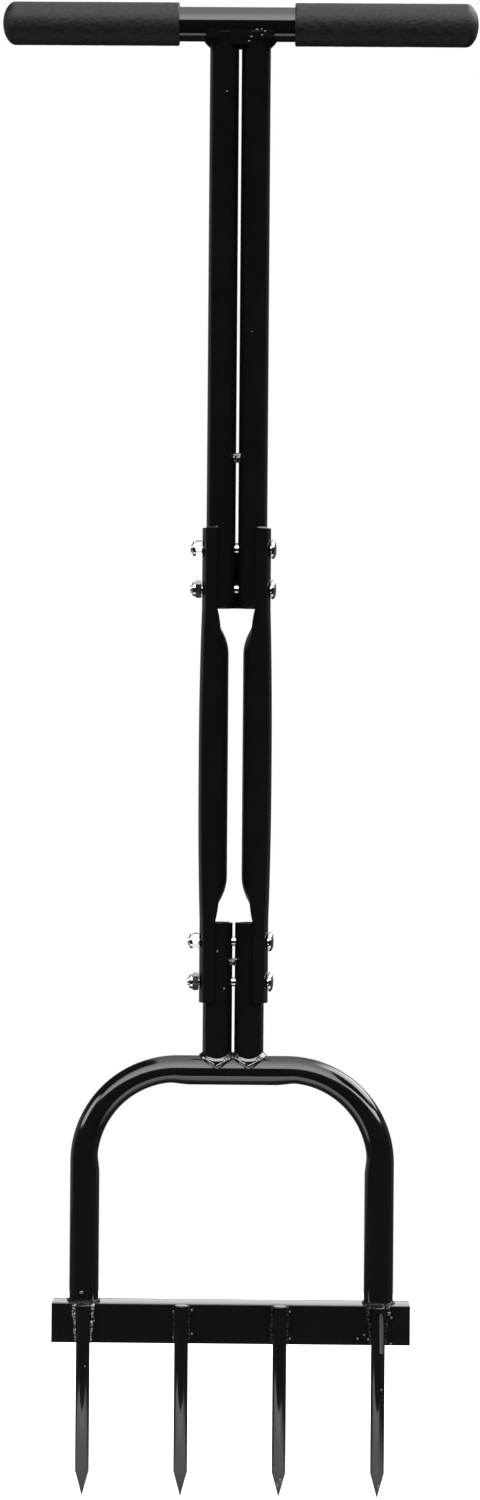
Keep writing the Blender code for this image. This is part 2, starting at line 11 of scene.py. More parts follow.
# %% Load the frame
import random
from math import atan2, ceil, copysign, cos, hypot, pi, radians, sin, sqrt, tan, tau

import bmesh
import bpy
from mathutils import Matrix, Quaternion, Vector, noise


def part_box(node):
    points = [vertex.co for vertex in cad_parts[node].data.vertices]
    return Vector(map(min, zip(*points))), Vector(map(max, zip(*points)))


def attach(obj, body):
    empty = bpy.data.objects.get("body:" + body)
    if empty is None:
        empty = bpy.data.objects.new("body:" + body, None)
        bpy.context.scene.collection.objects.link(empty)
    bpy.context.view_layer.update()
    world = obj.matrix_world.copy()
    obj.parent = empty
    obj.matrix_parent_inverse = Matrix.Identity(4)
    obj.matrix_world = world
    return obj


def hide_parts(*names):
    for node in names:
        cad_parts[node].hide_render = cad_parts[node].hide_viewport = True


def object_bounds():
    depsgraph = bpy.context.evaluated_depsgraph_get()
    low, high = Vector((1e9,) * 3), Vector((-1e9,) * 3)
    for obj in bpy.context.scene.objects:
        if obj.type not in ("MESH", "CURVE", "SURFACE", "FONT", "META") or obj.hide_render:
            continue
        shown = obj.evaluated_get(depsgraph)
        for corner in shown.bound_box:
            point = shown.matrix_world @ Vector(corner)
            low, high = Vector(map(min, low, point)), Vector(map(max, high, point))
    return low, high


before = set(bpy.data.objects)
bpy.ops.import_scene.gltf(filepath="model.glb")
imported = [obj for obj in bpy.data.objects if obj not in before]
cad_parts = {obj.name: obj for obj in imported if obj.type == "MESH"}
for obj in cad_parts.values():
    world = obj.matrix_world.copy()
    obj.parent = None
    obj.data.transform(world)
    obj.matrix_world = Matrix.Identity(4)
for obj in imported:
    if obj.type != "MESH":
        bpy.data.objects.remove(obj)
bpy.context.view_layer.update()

# %% [markdown]
# The camera
#
# The photograph was taken from far away with a long lens, at the height of the tool's middle. The
# tool leans less than half a degree to the right in it, and is turned a little over half a degree,
# which shows in how the handle and the bar slope a little differently. The camera is placed by its
# distance and the point it looks at, and then rolled about its own line of sight.

# %% Camera
AXIS_Y = 0.0117
IMAGE_HEIGHT = 1500
FOCAL_PIXELS = 3750
SENSOR = 36.0
CAMERA_DISTANCE = 2.43
CAMERA_TURN = radians(-0.64)
CAMERA_ROLL = radians(0.443)

aim = Vector((0.0031, AXIS_Y, 0.3830))
away = Vector((-sin(CAMERA_TURN), -cos(CAMERA_TURN), 0))
scene = bpy.context.scene
camera = bpy.data.objects.new("camera", bpy.data.cameras.new("camera"))
scene.collection.objects.link(camera)
camera.data.sensor_width = SENSOR
camera.data.lens = SENSOR * FOCAL_PIXELS / IMAGE_HEIGHT
camera.location = aim + away * CAMERA_DISTANCE
camera.rotation_mode = "QUATERNION"
camera.rotation_quaternion = (-away).to_track_quat("-Z", "Y") @ Quaternion((0, 0, 1), CAMERA_ROLL)
scene.camera = camera
scene.view_settings.view_transform = "Standard"
print("lens", camera.data.lens)

# %% [markdown]
# Node trees as Python expressions
#
# A material is a network of small sums. Written node by node it is long and hard to read, so a
# socket is wrapped in a class that knows +, -, * and /, and each of them adds one Math node.
# Colours don't go through Math nodes, which would turn them grey: they go through Mix.

# %% A socket that can be used in a sum
class Value:
    """One output of a node, in a tree that is being built."""

    def __init__(self, tree, socket):
        self.tree = tree
        self.socket = socket

    def node(self, kind, settings=None, sockets=None, output=0):
        """Adds a node: its settings first, then its sockets. Returns one of its outputs."""
        return add_node(self.tree, kind, settings, sockets, output)

    def math(self, operation, *operands):
        return self.node("ShaderNodeMath", {"operation": operation}, dict(enumerate(operands)))

    def other(self, output):
        return Value(self.tree, self.socket.node.outputs[output])

    def __add__(self, more):
        return self.math("ADD", self, more)

    def __sub__(self, less):
        return self.math("SUBTRACT", self, less)

    def __rsub__(self, start):
        return self.math("SUBTRACT", start, self)

    def __mul__(self, factor):
        return self.math("MULTIPLY", self, factor)

    def __truediv__(self, divisor):
        return self.math("DIVIDE", self, divisor)

    __radd__ = __add__
    __rmul__ = __mul__

    def absolute(self):
        return self.math("ABSOLUTE", self)

    def or_more(self, other):
        """The larger of the two."""
        return self.math("MAXIMUM", self, other)

    def between(self, low, high):
        """0 below low, 1 above high, and a straight rise from one to the other."""
        sockets = {"Value": self, "From Min": low, "From Max": high}
        return self.node("ShaderNodeMapRange", {"clamp": True}, sockets)

    def bump(self, distance, under=None):
        """A Bump node whose height is this value, in metres for each 1."""
        sockets = {"Height": self, "Distance": distance}
        if under:
            sockets["Normal"] = under
        return self.node("ShaderNodeBump", None, sockets)


def add_node(tree, kind, settings=None, sockets=None, output=0):
    made = tree.nodes.new(kind)
    for name, value in (settings or {}).items():
        setattr(made, name, value)
    plug_in(tree, made, sockets or {})
    return Value(tree, made.outputs[output])


def plug_in(tree, node, sockets):
    """Links a node's sockets to values, or sets them to plain numbers and colours."""
    for name, value in sockets.items():
        if isinstance(value, Value):
            tree.links.new(value.socket, node.inputs[name])
        else:
            node.inputs[name].default_value = value


def region(*bands):
    """1 where all the bands overlap. A band is a value, the limits between which it fades in and
    those between which it fades out. None stands for no limits."""
    share = 1
    for value, start, end in bands:
        if start:
            share = share * value.between(*start)
        if end:
            share = share * (1 - value.between(*end))
    return share


def blend_colours(share, first, second):
    """A colour that goes from the first to the second as share goes from 0 to 1."""
    sockets = {"Factor": share, 6: (*first, 1), 7: (*second, 1)}
    return share.node("ShaderNodeMix", {"data_type": "RGBA"}, sockets, output=2)


def place_of(tree):
    return add_node(tree, "ShaderNodeTexCoord", output="Object")


def mottle(place, scale, detail=2.0, stretch=(1, 1, 1)):
    """Cloudy noise of about 1/scale metres, from 0 to 1."""
    stretched = place.node("ShaderNodeMapping", None, {"Vector": place, "Scale": stretch})
    sockets = {"Vector": stretched, "Scale": scale, "Detail": detail}
    return place.node("ShaderNodeTexNoise", None, sockets)


def new_material(name, paint):
    """Makes a material. paint(tree) gives what goes into the Principled shader's sockets."""
    material = bpy.data.materials.new(name)
    material.use_nodes = True
    tree = material.node_tree
    plug_in(tree, tree.nodes["Principled BSDF"], paint(tree))
    print("material", name, len(tree.nodes), "nodes")
    return material


# %% [markdown]
# The studio
#
# Glossy black paint has hardly any colour of its own: what shows is the room that it mirrors. Here
# that is a long soft light over the tool, wider on the left, a white backdrop, a white table and a
# dark room. There are a wing and a corner box on the right, a side lamp on the left, and a low
# window that only mirrors show. Their limits were read off the two bends of the frame, which mirror
# nearly the whole room. The sky's shader can hold all of it, because it depends only on a ray's
# direction. Rays from the camera see plain white.

# %% Light and backdrop
STRIP_STOPS = ((0, 5.0), (45, 4.4), (70, 2.6), (90, 2.0), (106, 1.6), (122, 0.8), (150, 0.45),
               (180, 0.3))
BRIGHTEST = 5
STRIP_START = 0.340
STRIP_START_RISE = 0.22
WING = 8.0
SIDE_LAMP = 5.0
CORNER_BOX = 6.5
WINDOW = 0.85
BACKDROP = 0.26
DARK_ROOM = 0.018

world = bpy.data.worlds.new("studio")
scene.world = world
world.use_nodes = True
sky = world.node_tree
way = add_node(sky, "ShaderNodeTexCoord", output="Generated")
across = way.node("ShaderNodeSeparateXYZ", None, {"Vector": way})
back = across.other("Y")
up = across.other("Z")
sideways = across.absolute()

over = across.math("ARCTAN2", up, 0 - back) * (180 / pi)
level = over.node("ShaderNodeValToRGB", None, {"Fac": over / 180})
stops = level.socket.node.color_ramp.elements
while len(stops) < len(STRIP_STOPS):
    stops.new(1)
for stop, (angle, strength) in zip(stops, STRIP_STOPS):
    stop.position = angle / 180
    stop.color = (*[strength / BRIGHTEST] * 3, 1)
on_right = across.between(-0.01, 0.01)
wide = region((sideways, None, (0.72, 0.78)), (back, None, (-0.36, -0.26)))
left_part = wide.or_more(1 - sideways.between(0.22, 0.28))
right_part = 1 - sideways.between(0.45, 0.48)
above_start = up - (STRIP_START + STRIP_START_RISE * sideways.math("MINIMUM", sideways, 0.5))
past_start = above_start.between(-0.005, 0.005).or_more(back.between(-0.05, 0.05))
in_strip = (on_right * right_part + (1 - on_right) * left_part) * past_start * up.between(0, 0.02)

behind = region((back, (0.16, 0.30), None), (up.absolute(), None, (0.30, 0.34))) \
    * (1 - back.between(0.75, 0.98) * 0.8) * (1 - across.between(-0.2, 0.2) * 0.6)
wing = region((across, (0.45, 0.48), (0.93, 0.97)), (up + sideways * 0.27, (0.570, 0.585), None),
              ((0.675 - sideways * 0.25) - up, (0, 0.01), None), (back, None, (-0.1, 0)))
side_lamp = region((0 - across, (0.74, 0.80), None), (up, (0.22, 0.28), (0.52, 0.58)),
                   (back, (-0.42, -0.34), (0, 0.1)))
corner = region((across, (0.26, 0.50), (0.80, 0.86)), (back, (-0.06, -0.02), (0.72, 0.84)),
                (up, (0.36, 0.42), None))
window = region((sideways, None, (0.12, 0.16)), (back, (0.90, 0.92), None),
                (up, (0.02, 0.05), (0.24, 0.28)))

light = in_strip * level * BRIGHTEST + wing * WING + side_lamp * SIDE_LAMP + corner * CORNER_BOX \
    + (1 - in_strip) * behind * BACKDROP + DARK_ROOM
ray = light.node("ShaderNodeLightPath", output="Is Camera Ray")
mirrored = ray.other("Is Glossy Ray").or_more(ray.other("Is Transmission Ray"))
strength = ray.or_more((1 - ray) * light + mirrored * window * WINDOW)
background = sky.nodes["Background"]
background.inputs["Color"].default_value = (1, 1, 1, 1)
sky.links.new(strength.socket, background.inputs["Strength"])
print("studio", len(sky.nodes), "nodes")

# %% [markdown]
# The table
#
# The tool stands on its four points on a white table. A white surface that is lit at a plain
# level comes out pale grey, so rays from the camera and mirrored rays see a little glow added to
# it. The shadow under the points stays, because the glow is only added to the lit colour. In
# mirror images the table's colour and glow are a painted pool of light: kept near the tool and
# painted fading to black away from it.

# %% Table
TABLE_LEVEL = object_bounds()[0].z
TABLE_FRONT = -0.27
TABLE_BACK = 0.90
TABLE_HALF_WIDTH = 1.5
SEEN_GLOW = 0.55
MIRRORED_GLOW = 0.41

bm = bmesh.new()
bmesh.ops.create_grid(bm, x_segments=1, y_segments=1, size=0.5)
bmesh.ops.scale(bm, verts=bm.verts[:], vec=(2 * TABLE_HALF_WIDTH, TABLE_BACK - TABLE_FRONT, 1))
bmesh.ops.translate(bm, verts=bm.verts[:], vec=(0, (TABLE_BACK + TABLE_FRONT) / 2, TABLE_LEVEL))
table_mesh = bpy.data.meshes.new("table")
bm.to_mesh(table_mesh)
bm.free()
table = bpy.data.objects.new("table", table_mesh)
scene.collection.objects.link(table)


def paint_table(tree):
    sees = add_node(tree, "ShaderNodeLightPath", output="Is Camera Ray")
    mirrored = sees.other("Is Glossy Ray").or_more(sees.other("Is Transmission Ray"))
    place = place_of(tree)
    across = place.node("ShaderNodeSeparateXYZ", None, {"Vector": place})
    depth = across.other("Y")
    # Painted light: for mirrored rays the table keeps its colour and glow only in a patch in front
    # of the tool and to its left, a little dimmer further back. Outside it they are painted fading
    # to black, a painted shade.
    painted_light_pool = region((across, (-0.50, -0.38), (0.10, 0.30)), (depth, None, (-0.04, 0.08))) \
        * (1 - depth.between(-0.20, -0.12) * 0.25)
    painted_shade_share = mirrored * (1 - painted_light_pool) * 0.97
    glow = (sees * SEEN_GLOW + mirrored * MIRRORED_GLOW) * (1 - painted_shade_share)
    shade = blend_colours(painted_shade_share, (0.82, 0.82, 0.82), (0.0, 0.0, 0.0))
    return {"Base Color": shade, "Roughness": 0.9, "Specular IOR Level": 0.0,
            "Emission Color": (1, 1, 1, 1), "Emission Strength": glow}


table_mesh.materials.append(new_material("white table", paint_table))
print("table at", round(TABLE_LEVEL, 4))

# %% [markdown]
# Black paint
#
# The tubes, the bar and the rods are dipped or sprayed in a thick black enamel. It is smooth and
# wet-looking, with a faint orange peel that only shows in how the edges of a reflection waver.
# A nearly black colour with a low roughness gives the gloss. Two heights of noise in a Bump node
# give the peel: a long soft one and a short one. Spatter and crisp welds glint more than the
# tubes, rough beads swallow light and look darker, and one thick run has dried dull.

# %% Black paint
def paint_enamel(peel, grain, ior=1.6, dullness=0.055):
    """Black paint. peel and grain are the heights of the long and the short waves, in metres."""
    def paint(tree):
        place = place_of(tree)
        tone = mottle(place, 60, 3)
        colour = blend_colours(tone, (0.0030, 0.0030, 0.0031), (0.0056, 0.0056, 0.0058))
        rough = dullness + mottle(place, 25, 3) * 0.05
        waves = mottle(place, 45, 1).bump(peel)
        normal = mottle(place, 900, 2).bump(grain, waves)
        return {"Base Color": colour, "Roughness": rough, "Normal": normal, "IOR": ior}
    return paint


tube_paint, weld_paint, bead_paint, soot_paint, run_paint = [
    new_material(f"black enamel{kind}", paint_enamel(*values)) for kind, *values in (
        (" on tube", 0.00004, 0.0000012),
        (" on weld", 0.00006, 0.000004, 2.1),
        (", thin over a bead", 0.00006, 0.000004, 1.28, 0.10),
        (", sunk in a rough bead", 0.00006, 0.000004, 1.12, 0.20),
        (", dull run", 0.00004, 0.000002, 2.1, 0.45))]

# %% [markdown]
# Foam
#
# The grips are sleeves of closed-cell rubber foam. The skin is matt dark grey with a fine grain
# of cells and a cloudy, streaky look where the cells are larger. It is rough, but at a flat angle
# it still catches light, so it looks paler along the top.

# %% Foam
def paint_foam(tree):
    place = place_of(tree)
    clouds = mottle(place, 620, 4, (0.6, 1, 1))
    cells = place.node("ShaderNodeTexVoronoi", {"feature": "F1"}, {"Vector": place, "Scale": 1500})
    tone = clouds.between(0.32, 0.68) * 0.75 + cells * 0.25
    colour = blend_colours(tone, (0.002, 0.002, 0.0021), (0.026, 0.026, 0.027))
    rough = 0.42 + clouds * 0.20
    skin = clouds.bump(0.0004)
    normal = (1 - cells).bump(0.00005, skin)
    return {"Base Color": colour, "Roughness": rough, "Normal": normal, "IOR": 1.38}


foam = new_material("dark grey foam", paint_foam)

# %% [markdown]
# Zinc
#
# Bolts and nuts are zinc plated: bright metal with a fine brushed grain from the forming dies and
# a little cloudiness. A metallic shader needs only a pale colour and some change in roughness. The
# rings in the lock nuts are pale nylon, which is duller and hardly varies.

# %% Zinc and nylon
def paint_zinc(tree):
    place = place_of(tree)
    clouds = mottle(place, 500, 3)
    colour = blend_colours(clouds, (0.50, 0.51, 0.53), (0.72, 0.72, 0.74))
    rough = 0.07 + mottle(place, 1400, 2) * 0.12
    normal = mottle(place, 2500, 2, (0.3, 1, 1)).bump(0.000006)
    return {"Base Color": colour, "Roughness": rough, "Metallic": 1.0, "Normal": normal}


zinc = new_material("bright zinc", paint_zinc)


def paint_nylon(tree):
    tone = mottle(place_of(tree), 600, 2)
    colour = blend_colours(tone, (0.56, 0.60, 0.66), (0.68, 0.72, 0.77))
    return {"Base Color": colour, "Roughness": 0.42, "Normal": tone.bump(0.00002)}


nylon = new_material("pale nylon", paint_nylon)

# %% [markdown]
# Helpers for the pieces
#
# Most of this tool is round, so most shapes start as half an outline that is spun about an axis.
# The corners are given as radius and height, and a closed outline makes a hollow piece.

# %% Spin, finish and carve
MERGE_DISTANCE = 1e-7
SHARP_ANGLE = 35
ALL_SMOOTH = 180
RIGHT_ANGLE = pi / 2
SIDES = ((-1, "left"), (1, "right"))


def spun(profile, steps, closed=False):
    """Spins (radius, height) corners round the Z axis. A closed profile makes a hollow piece."""
    bm = bmesh.new()
    corners = [bm.verts.new((radius, 0, height)) for radius, height in profile]
    edges = [bm.edges.new(pair) for pair in zip(corners, corners[1:])]
    if closed:
        edges.append(bm.edges.new((corners[-1], corners[0])))
    bmesh.ops.spin(bm, geom=corners + edges, cent=(0, 0, 0), axis=(0, 0, 1), angle=tau,
                   steps=steps, use_merge=True)
    bmesh.ops.remove_doubles(bm, verts=bm.verts[:], dist=MERGE_DISTANCE)
    return bm


def round_over(x, y, wide, tall, steps):
    """The corners of a quarter round about (x, y), from its widest point to its highest."""
    angles = [RIGHT_ANGLE * step / steps for step in range(steps + 1)]
    return [(x + wide * cos(angle), y + tall * sin(angle)) for angle in angles]


def edges_in(items):
    return [item for item in items if isinstance(item, bmesh.types.BMEdge)]


def corners_in(items):
    return [item for item in items if isinstance(item, bmesh.types.BMVert)]


def move(bm, vec):
    bmesh.ops.translate(bm, verts=bm.verts[:], vec=vec)
    return bm


def turn(bm, angle, axis):
    bmesh.ops.rotate(bm, verts=bm.verts[:], cent=(0, 0, 0), matrix=Matrix.Rotation(angle, 3, axis))
    return bm


def lay(bm, side, place):
    """Turns an upright piece so that its top points to the right, or to the left, and moves it."""
    turn(bm, side * RIGHT_ANGLE, "Y")
    return move(bm, place)


def as_object(name, bm, smooth_angle=SHARP_ANGLE):
    """Turns a finished bmesh into an object with its faces pointing out."""
    bmesh.ops.recalc_face_normals(bm, faces=bm.faces[:])
    mesh = bpy.data.meshes.new(name)
    bm.to_mesh(mesh)
    bm.free()
    mesh.shade_smooth()
    mesh.set_sharp_from_angle(angle=radians(smooth_angle))
    made = bpy.data.objects.new(name, mesh)
    scene.collection.objects.link(made)
    return made


def apply_modifiers(piece, smooth_angle=SHARP_ANGLE):
    """Puts what the modifiers make into the piece's own mesh."""
    graph = bpy.context.evaluated_depsgraph_get()
    graph.update()
    mesh = bpy.data.meshes.new_from_object(piece.evaluated_get(graph))
    piece.modifiers.clear()
    piece.data = mesh
    mesh.shade_smooth()
    mesh.set_sharp_from_angle(angle=radians(smooth_angle))


def carve(piece, *tools, smooth_angle=SHARP_ANGLE):
    """Cuts each tool's shape out of the piece and throws the tool away."""
    for tool in tools:
        cut = piece.modifiers.new(tool.name, "BOOLEAN")
        cut.operation = "DIFFERENCE"
        cut.solver = "EXACT"
        cut.object = tool
    apply_modifiers(piece, smooth_angle)
    for tool in tools:
        bpy.data.objects.remove(tool, do_unlink=True)


def dress(piece, *nodes, material=tube_paint, slot="black_paint"):
    """Gives a piece its finish and says which CAD nodes it stands for."""
    piece.data.materials.clear()
    piece.data.materials.append(material)
    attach(piece, "root")
    if nodes:
        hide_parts(*nodes)
    triangles = sum(len(face.vertices) - 2 for face in piece.data.polygons)
    print(piece.name, triangles, "triangles")
    return piece


# %% [markdown]
# Cross handle
#
# A straight steel tube, 22 mm across with a wall a little over 1 mm. Only its middle shows: both
# ends run inside the grips. Its cut ends have a small chamfer, so the outline that is spun has an
# extra corner at each of its four corners.

# %% Cross handle
STEPS = 96
RIM = 0.0002
HANDLE_RADIUS = 0.0111
HANDLE_WALL = 0.0012

handle_low, handle_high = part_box("handle_bar")
HANDLE_Z = (handle_low.z + handle_high.z) / 2


def tube_profile(outer, wall, low, high):
    inner = outer - wall
    return [(inner + RIM, low), (outer - RIM, low), (outer, low + RIM), (outer, high - RIM),
            (outer - RIM, high), (inner + RIM, high), (inner, high - RIM), (inner, low + RIM)]


handle = spun(tube_profile(HANDLE_RADIUS, HANDLE_WALL, handle_low.x, handle_high.x), STEPS,
              closed=True)
lay(handle, 1, (0, AXIS_Y, HANDLE_Z))
dress(as_object("cross_handle", handle), "handle_bar")

# %% [markdown]
# Foam grips
#
# Each grip is one moulded sleeve with a domed, closed end and a small rounded mouth. It could be
# blown up from a box with cloth, but foam on a tube keeps its shape, so the outline is spun and
# its skin is then moved a few hundredths of a millimetre by noise, which breaks up the clean
# highlight of a turned shape.

# %% Foam grips
GRIP_RADIUS = 0.01385
GRIP_BORE = 0.0114
GRIP_END = 0.0062
DOME = 0.0082
MOUTH = 0.0012
BORE_CHAMFER = 0.0004
GRIP_STATIONS = 150
SKIN_LIFT = 0.00007


def grip_outline(length):
    outline = [(0, length - GRIP_END), (GRIP_BORE, length - GRIP_END), (GRIP_BORE, BORE_CHAMFER),
               (GRIP_BORE + BORE_CHAMFER, 0)]
    outline += round_over(GRIP_RADIUS - MOUTH, MOUTH, MOUTH, -MOUTH, 6)[::-1]
    straight = length - DOME - MOUTH
    outline += [(GRIP_RADIUS, MOUTH + straight * station / GRIP_STATIONS)
                for station in range(1, GRIP_STATIONS)]
    outline += round_over(0, length - DOME, GRIP_RADIUS, DOME, 24)
    outline[-1] = (0, length)
    return outline


for side, node in ((-1, "left_grip"), (1, "right_grip")):
    low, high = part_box(node)
    length = high.x - low.x
    grip = spun(grip_outline(length), 128)
    grip.normal_update()
    for vert in grip.verts:
        if hypot(vert.co.x, vert.co.y) > GRIP_BORE + 0.001 or vert.co.z > length - 0.002:
            coarse = noise.noise(vert.co * 260 + Vector((side * 7, 0, 0)))
            fine = noise.noise(vert.co * 900)
            vert.co += vert.normal * (coarse + 0.5 * fine - 0.8) * SKIN_LIFT
    lay(grip, side, (low.x if side > 0 else high.x, AXIS_Y, HANDLE_Z))
    sleeve = dress(as_object(f"foam_{node}", grip, 60), node, material=foam, slot="foam")

# %% [markdown]
# Shaft tubes
#
# The upper tubes hang under the cross handle and the lower stubs stand on the bent frame. Where a
# tube meets another one, its end is cut to a saddle that sits on the round without a gap. On a
# mesh, the end's corners slide along the tube until they lie on the other tube's round. The bolt
# holes are cut with a Boolean.

# %% Upper tubes and lower stubs
TUBE_RADIUS = 0.0095
TUBE_WALL = 0.0010
TUBE_X = 0.01025
CLEARANCE = 0.0003
BOLT_RADIUS = 0.0030
BOLT_COUNT = 4
CREST = 0.0223

bolt_boxes = [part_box(f"bolt_{number}") for number in range(1, BOLT_COUNT + 1)]
BOLT_HEIGHTS = [(low.z + high.z) / 2 for low, high in bolt_boxes]
frame_low, frame_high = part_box("u_frame")
CROSSPIECE_Z = frame_high.z - TUBE_RADIUS


def bolt_holes(side, heights):
    """One rod for each bolt hole, from the gap between the tubes out past the links."""
    holes = []
    radius = BOLT_RADIUS + CLEARANCE
    reach = CREST + 0.001
    for height in heights:
        hole = spun([(0, 0), (radius, 0), (radius, reach), (0, reach)], 32)
        holes.append(as_object("hole", lay(hole, side, (0, AXIS_Y, height))))
    return holes


def saddled_tube(side, name, node, low, high, seat_radius, up, heights):
    """One shaft tube with a saddle at its upper or else its lower end, and with bolt holes."""
    tube = spun(tube_profile(TUBE_RADIUS, TUBE_WALL, low, high), STEPS, closed=True)
    for vert in tube.verts:
        if abs(vert.co.z - (high if up else low)) < 2 * RIM:
            round_z = sqrt((seat_radius + CLEARANCE) ** 2 - vert.co.y ** 2)
            vert.co.z += -round_z if up else round_z
    piece = as_object(name, move(tube, (side * TUBE_X, AXIS_Y, 0)))
    carve(piece, *bolt_holes(side, heights))
    dress(piece, node)


for side, name in SIDES:
    upper, stub = f"{name}_upper_tube", f"{name}_lower_stub"
    saddled_tube(side, f"{name}_shaft_tube", upper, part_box(upper)[0].z, HANDLE_Z, HANDLE_RADIUS,
                 True, BOLT_HEIGHTS[2:])
    saddled_tube(side, f"{name}_socket_tube", stub, CROSSPIECE_Z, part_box(stub)[1].z, TUBE_RADIUS,
                 False, BOLT_HEIGHTS[:2])

# %% [markdown]
# Middle links
#
# Each link is a round tube whose ends go through a press. A punch folds the inner half of the wall
# back against the outer half, so that the end becomes a double-walled half round that cups the
# next tube. Away from the end the wall eases back into a full round, the inner half sooner than
# the outer half. The mesh is made the same way: a spun tube, and a function that moves each of its
# corners as the press would.

# %% Middle links
LINK_STEPS = 128
OUTER_ARC_STEPS = 26
FOLD_STEPS = 12
LINK_X = 0.0142
LINK_SHIFT = LINK_X - TUBE_X
LINK_OVERLAP = 0.0519
CUP_HALF_ANGLE = radians(74)
CUP_SLIT = 0.00025
CUP_INNER = TUBE_RADIUS + CLEARANCE + TUBE_WALL / 2
CUP_OUTER = CUP_INNER + TUBE_WALL + CUP_SLIT
FOLD = (CUP_OUTER - CUP_INNER) / 2
MEAN_RADIUS = TUBE_RADIUS - TUBE_WALL / 2
INNER_EASE = 0.0295
OUTER_EASE = 0.0900
CREASE_DRIFT = radians(36)


def direction(angle):
    return Vector((cos(angle), sin(angle)))


def cup_point(step):
    """Where the press puts a corner: its place on the cup's middle line, the way out, its share."""
    half = LINK_STEPS // 2
    mirrored = step > half
    step = min(step, LINK_STEPS - step)
    outer_arc = CUP_OUTER * CUP_HALF_ANGLE
    fold_arc = FOLD * pi
    inner_arc = CUP_INNER * CUP_HALF_ANGLE
    if step <= OUTER_ARC_STEPS:
        share = step / OUTER_ARC_STEPS
        travelled = outer_arc * share
        angle = CUP_HALF_ANGLE * share
        out = direction(angle)
        point = out * CUP_OUTER
    elif step < OUTER_ARC_STEPS + FOLD_STEPS:
        share = (step - OUTER_ARC_STEPS) / FOLD_STEPS
        travelled = outer_arc + fold_arc * share
        angle = CUP_HALF_ANGLE + pi * share
        out = direction(angle)
        point = direction(CUP_HALF_ANGLE) * (CUP_OUTER + CUP_INNER) / 2 + out * FOLD
    else:
        share = (step - OUTER_ARC_STEPS - FOLD_STEPS) / (half - OUTER_ARC_STEPS - FOLD_STEPS)
        travelled = outer_arc + fold_arc + inner_arc * share
        angle = CUP_HALF_ANGLE * (1 - share)
        out = -direction(angle)
        point = -out * CUP_INNER
    around = pi * travelled / (outer_arc + fold_arc + inner_arc)
    if mirrored:
        point.y, out.y, around = -point.y, -out.y, -around
    return point, out, around


def eased(distance, length):
    share = min(max(distance / length, 0.0), 1.0)
    return 1 - (1 - share) ** 2


def press(bm, length):
    """Moves the corners of a straight tube as the press shapes both of its ends."""
    for vert in bm.verts:
        radius = hypot(vert.co.x, vert.co.y)
        turned = atan2(vert.co.y, vert.co.x) % tau / tau
        point, out, around = cup_point(round(turned * LINK_STEPS) % LINK_STEPS)
        distance = min(vert.co.z, length - vert.co.z) - LINK_OVERLAP - CLEARANCE
        outer_blend = eased(distance, OUTER_EASE)
        around += CREASE_DRIFT * (1 - outer_blend) * sin(around)
        round_out = direction(around)
        outwardness = (1 + round_out.x) / 2
        blend = eased(distance, INNER_EASE) * (1 - outwardness) + outer_blend * outwardness
        middle = point.lerp(Vector((LINK_SHIFT, 0)) + round_out * MEAN_RADIUS, blend)
        middle += out.lerp(round_out, blend).normalized() * (radius - MEAN_RADIUS)
        vert.co.x, vert.co.y = middle
    return bm


def link_profile(length):
    """The wall's outline, with a ring of corners wherever the shape changes along the tube."""
    start = LINK_OVERLAP + CLEARANCE
    heights = [RIM, start] + [start + INNER_EASE * step / 12 for step in range(1, 13)]
    heights += [start + INNER_EASE + (OUTER_EASE - INNER_EASE) * step / 8 for step in range(1, 9)]
    heights += [length - height for height in reversed(heights)]
    inner = TUBE_RADIUS - TUBE_WALL
    outline = [(TUBE_RADIUS - RIM, 0)] + [(TUBE_RADIUS, height) for height in heights]
    outline += [(TUBE_RADIUS - RIM, length), (inner + RIM, length)]
    outline += [(inner, height) for height in reversed(heights)]
    return outline + [(inner + RIM, 0)]


for side, name in SIDES:
    low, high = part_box(f"{name}_mid_link")
    length = high.z - low.z
    link = press(spun(link_profile(length), LINK_STEPS, closed=True), length)
    move(link, (TUBE_X, 0, low.z))
    if side < 0:
        bmesh.ops.scale(link, verts=link.verts[:], vec=(-1, 1, 1))
    move(link, (0, AXIS_Y, 0))
    pressed = as_object(f"{name}_pressed_link", link)
    carve(pressed, *bolt_holes(side, BOLT_HEIGHTS))
    dress(pressed, f"{name}_mid_link")

# %% [markdown]
# Bolts
#
# Each joint has two M6 bolts with low domed heads and a cross recess. The head and the shank are
# spun. The thread is one triangle that is spun many times round while it moves along the bolt, one
# pitch for each turn, which is how a thread is cut.

# %% Bolts
SEAT = CREST + CLEARANCE
BOLT_END = -(SEAT + 0.0072)
HEAD_RADIUS = 0.0063
HEAD_HEIGHT = 0.0033
HEAD_RIM = 0.0010
BROKEN_EDGE = 0.0003
PITCH = 0.0010
THREAD_DEPTH = 0.0005
THREAD_TURNS = 22
THREAD_STEPS = 20
RECESS_FLOOR = 0.0012
RECESS_MOUTH = 0.0034
RECESS_DEPTH = 0.0030


def bolt_outline():
    root = BOLT_RADIUS - THREAD_DEPTH
    thread_end = BOLT_END + THREAD_TURNS * PITCH + 0.0012
    outline = [(0, BOLT_END), (root - BROKEN_EDGE, BOLT_END), (root, BOLT_END + 0.0005),
               (root, thread_end), (BOLT_RADIUS, thread_end + 0.0006), (BOLT_RADIUS, SEAT),
               (HEAD_RADIUS - BROKEN_EDGE, SEAT), (HEAD_RADIUS, SEAT + BROKEN_EDGE)]
    outline += round_over(0, SEAT + HEAD_RIM, HEAD_RADIUS, HEAD_HEIGHT - HEAD_RIM, 12)
    outline[-1] = (0, SEAT + HEAD_HEIGHT)
    return outline


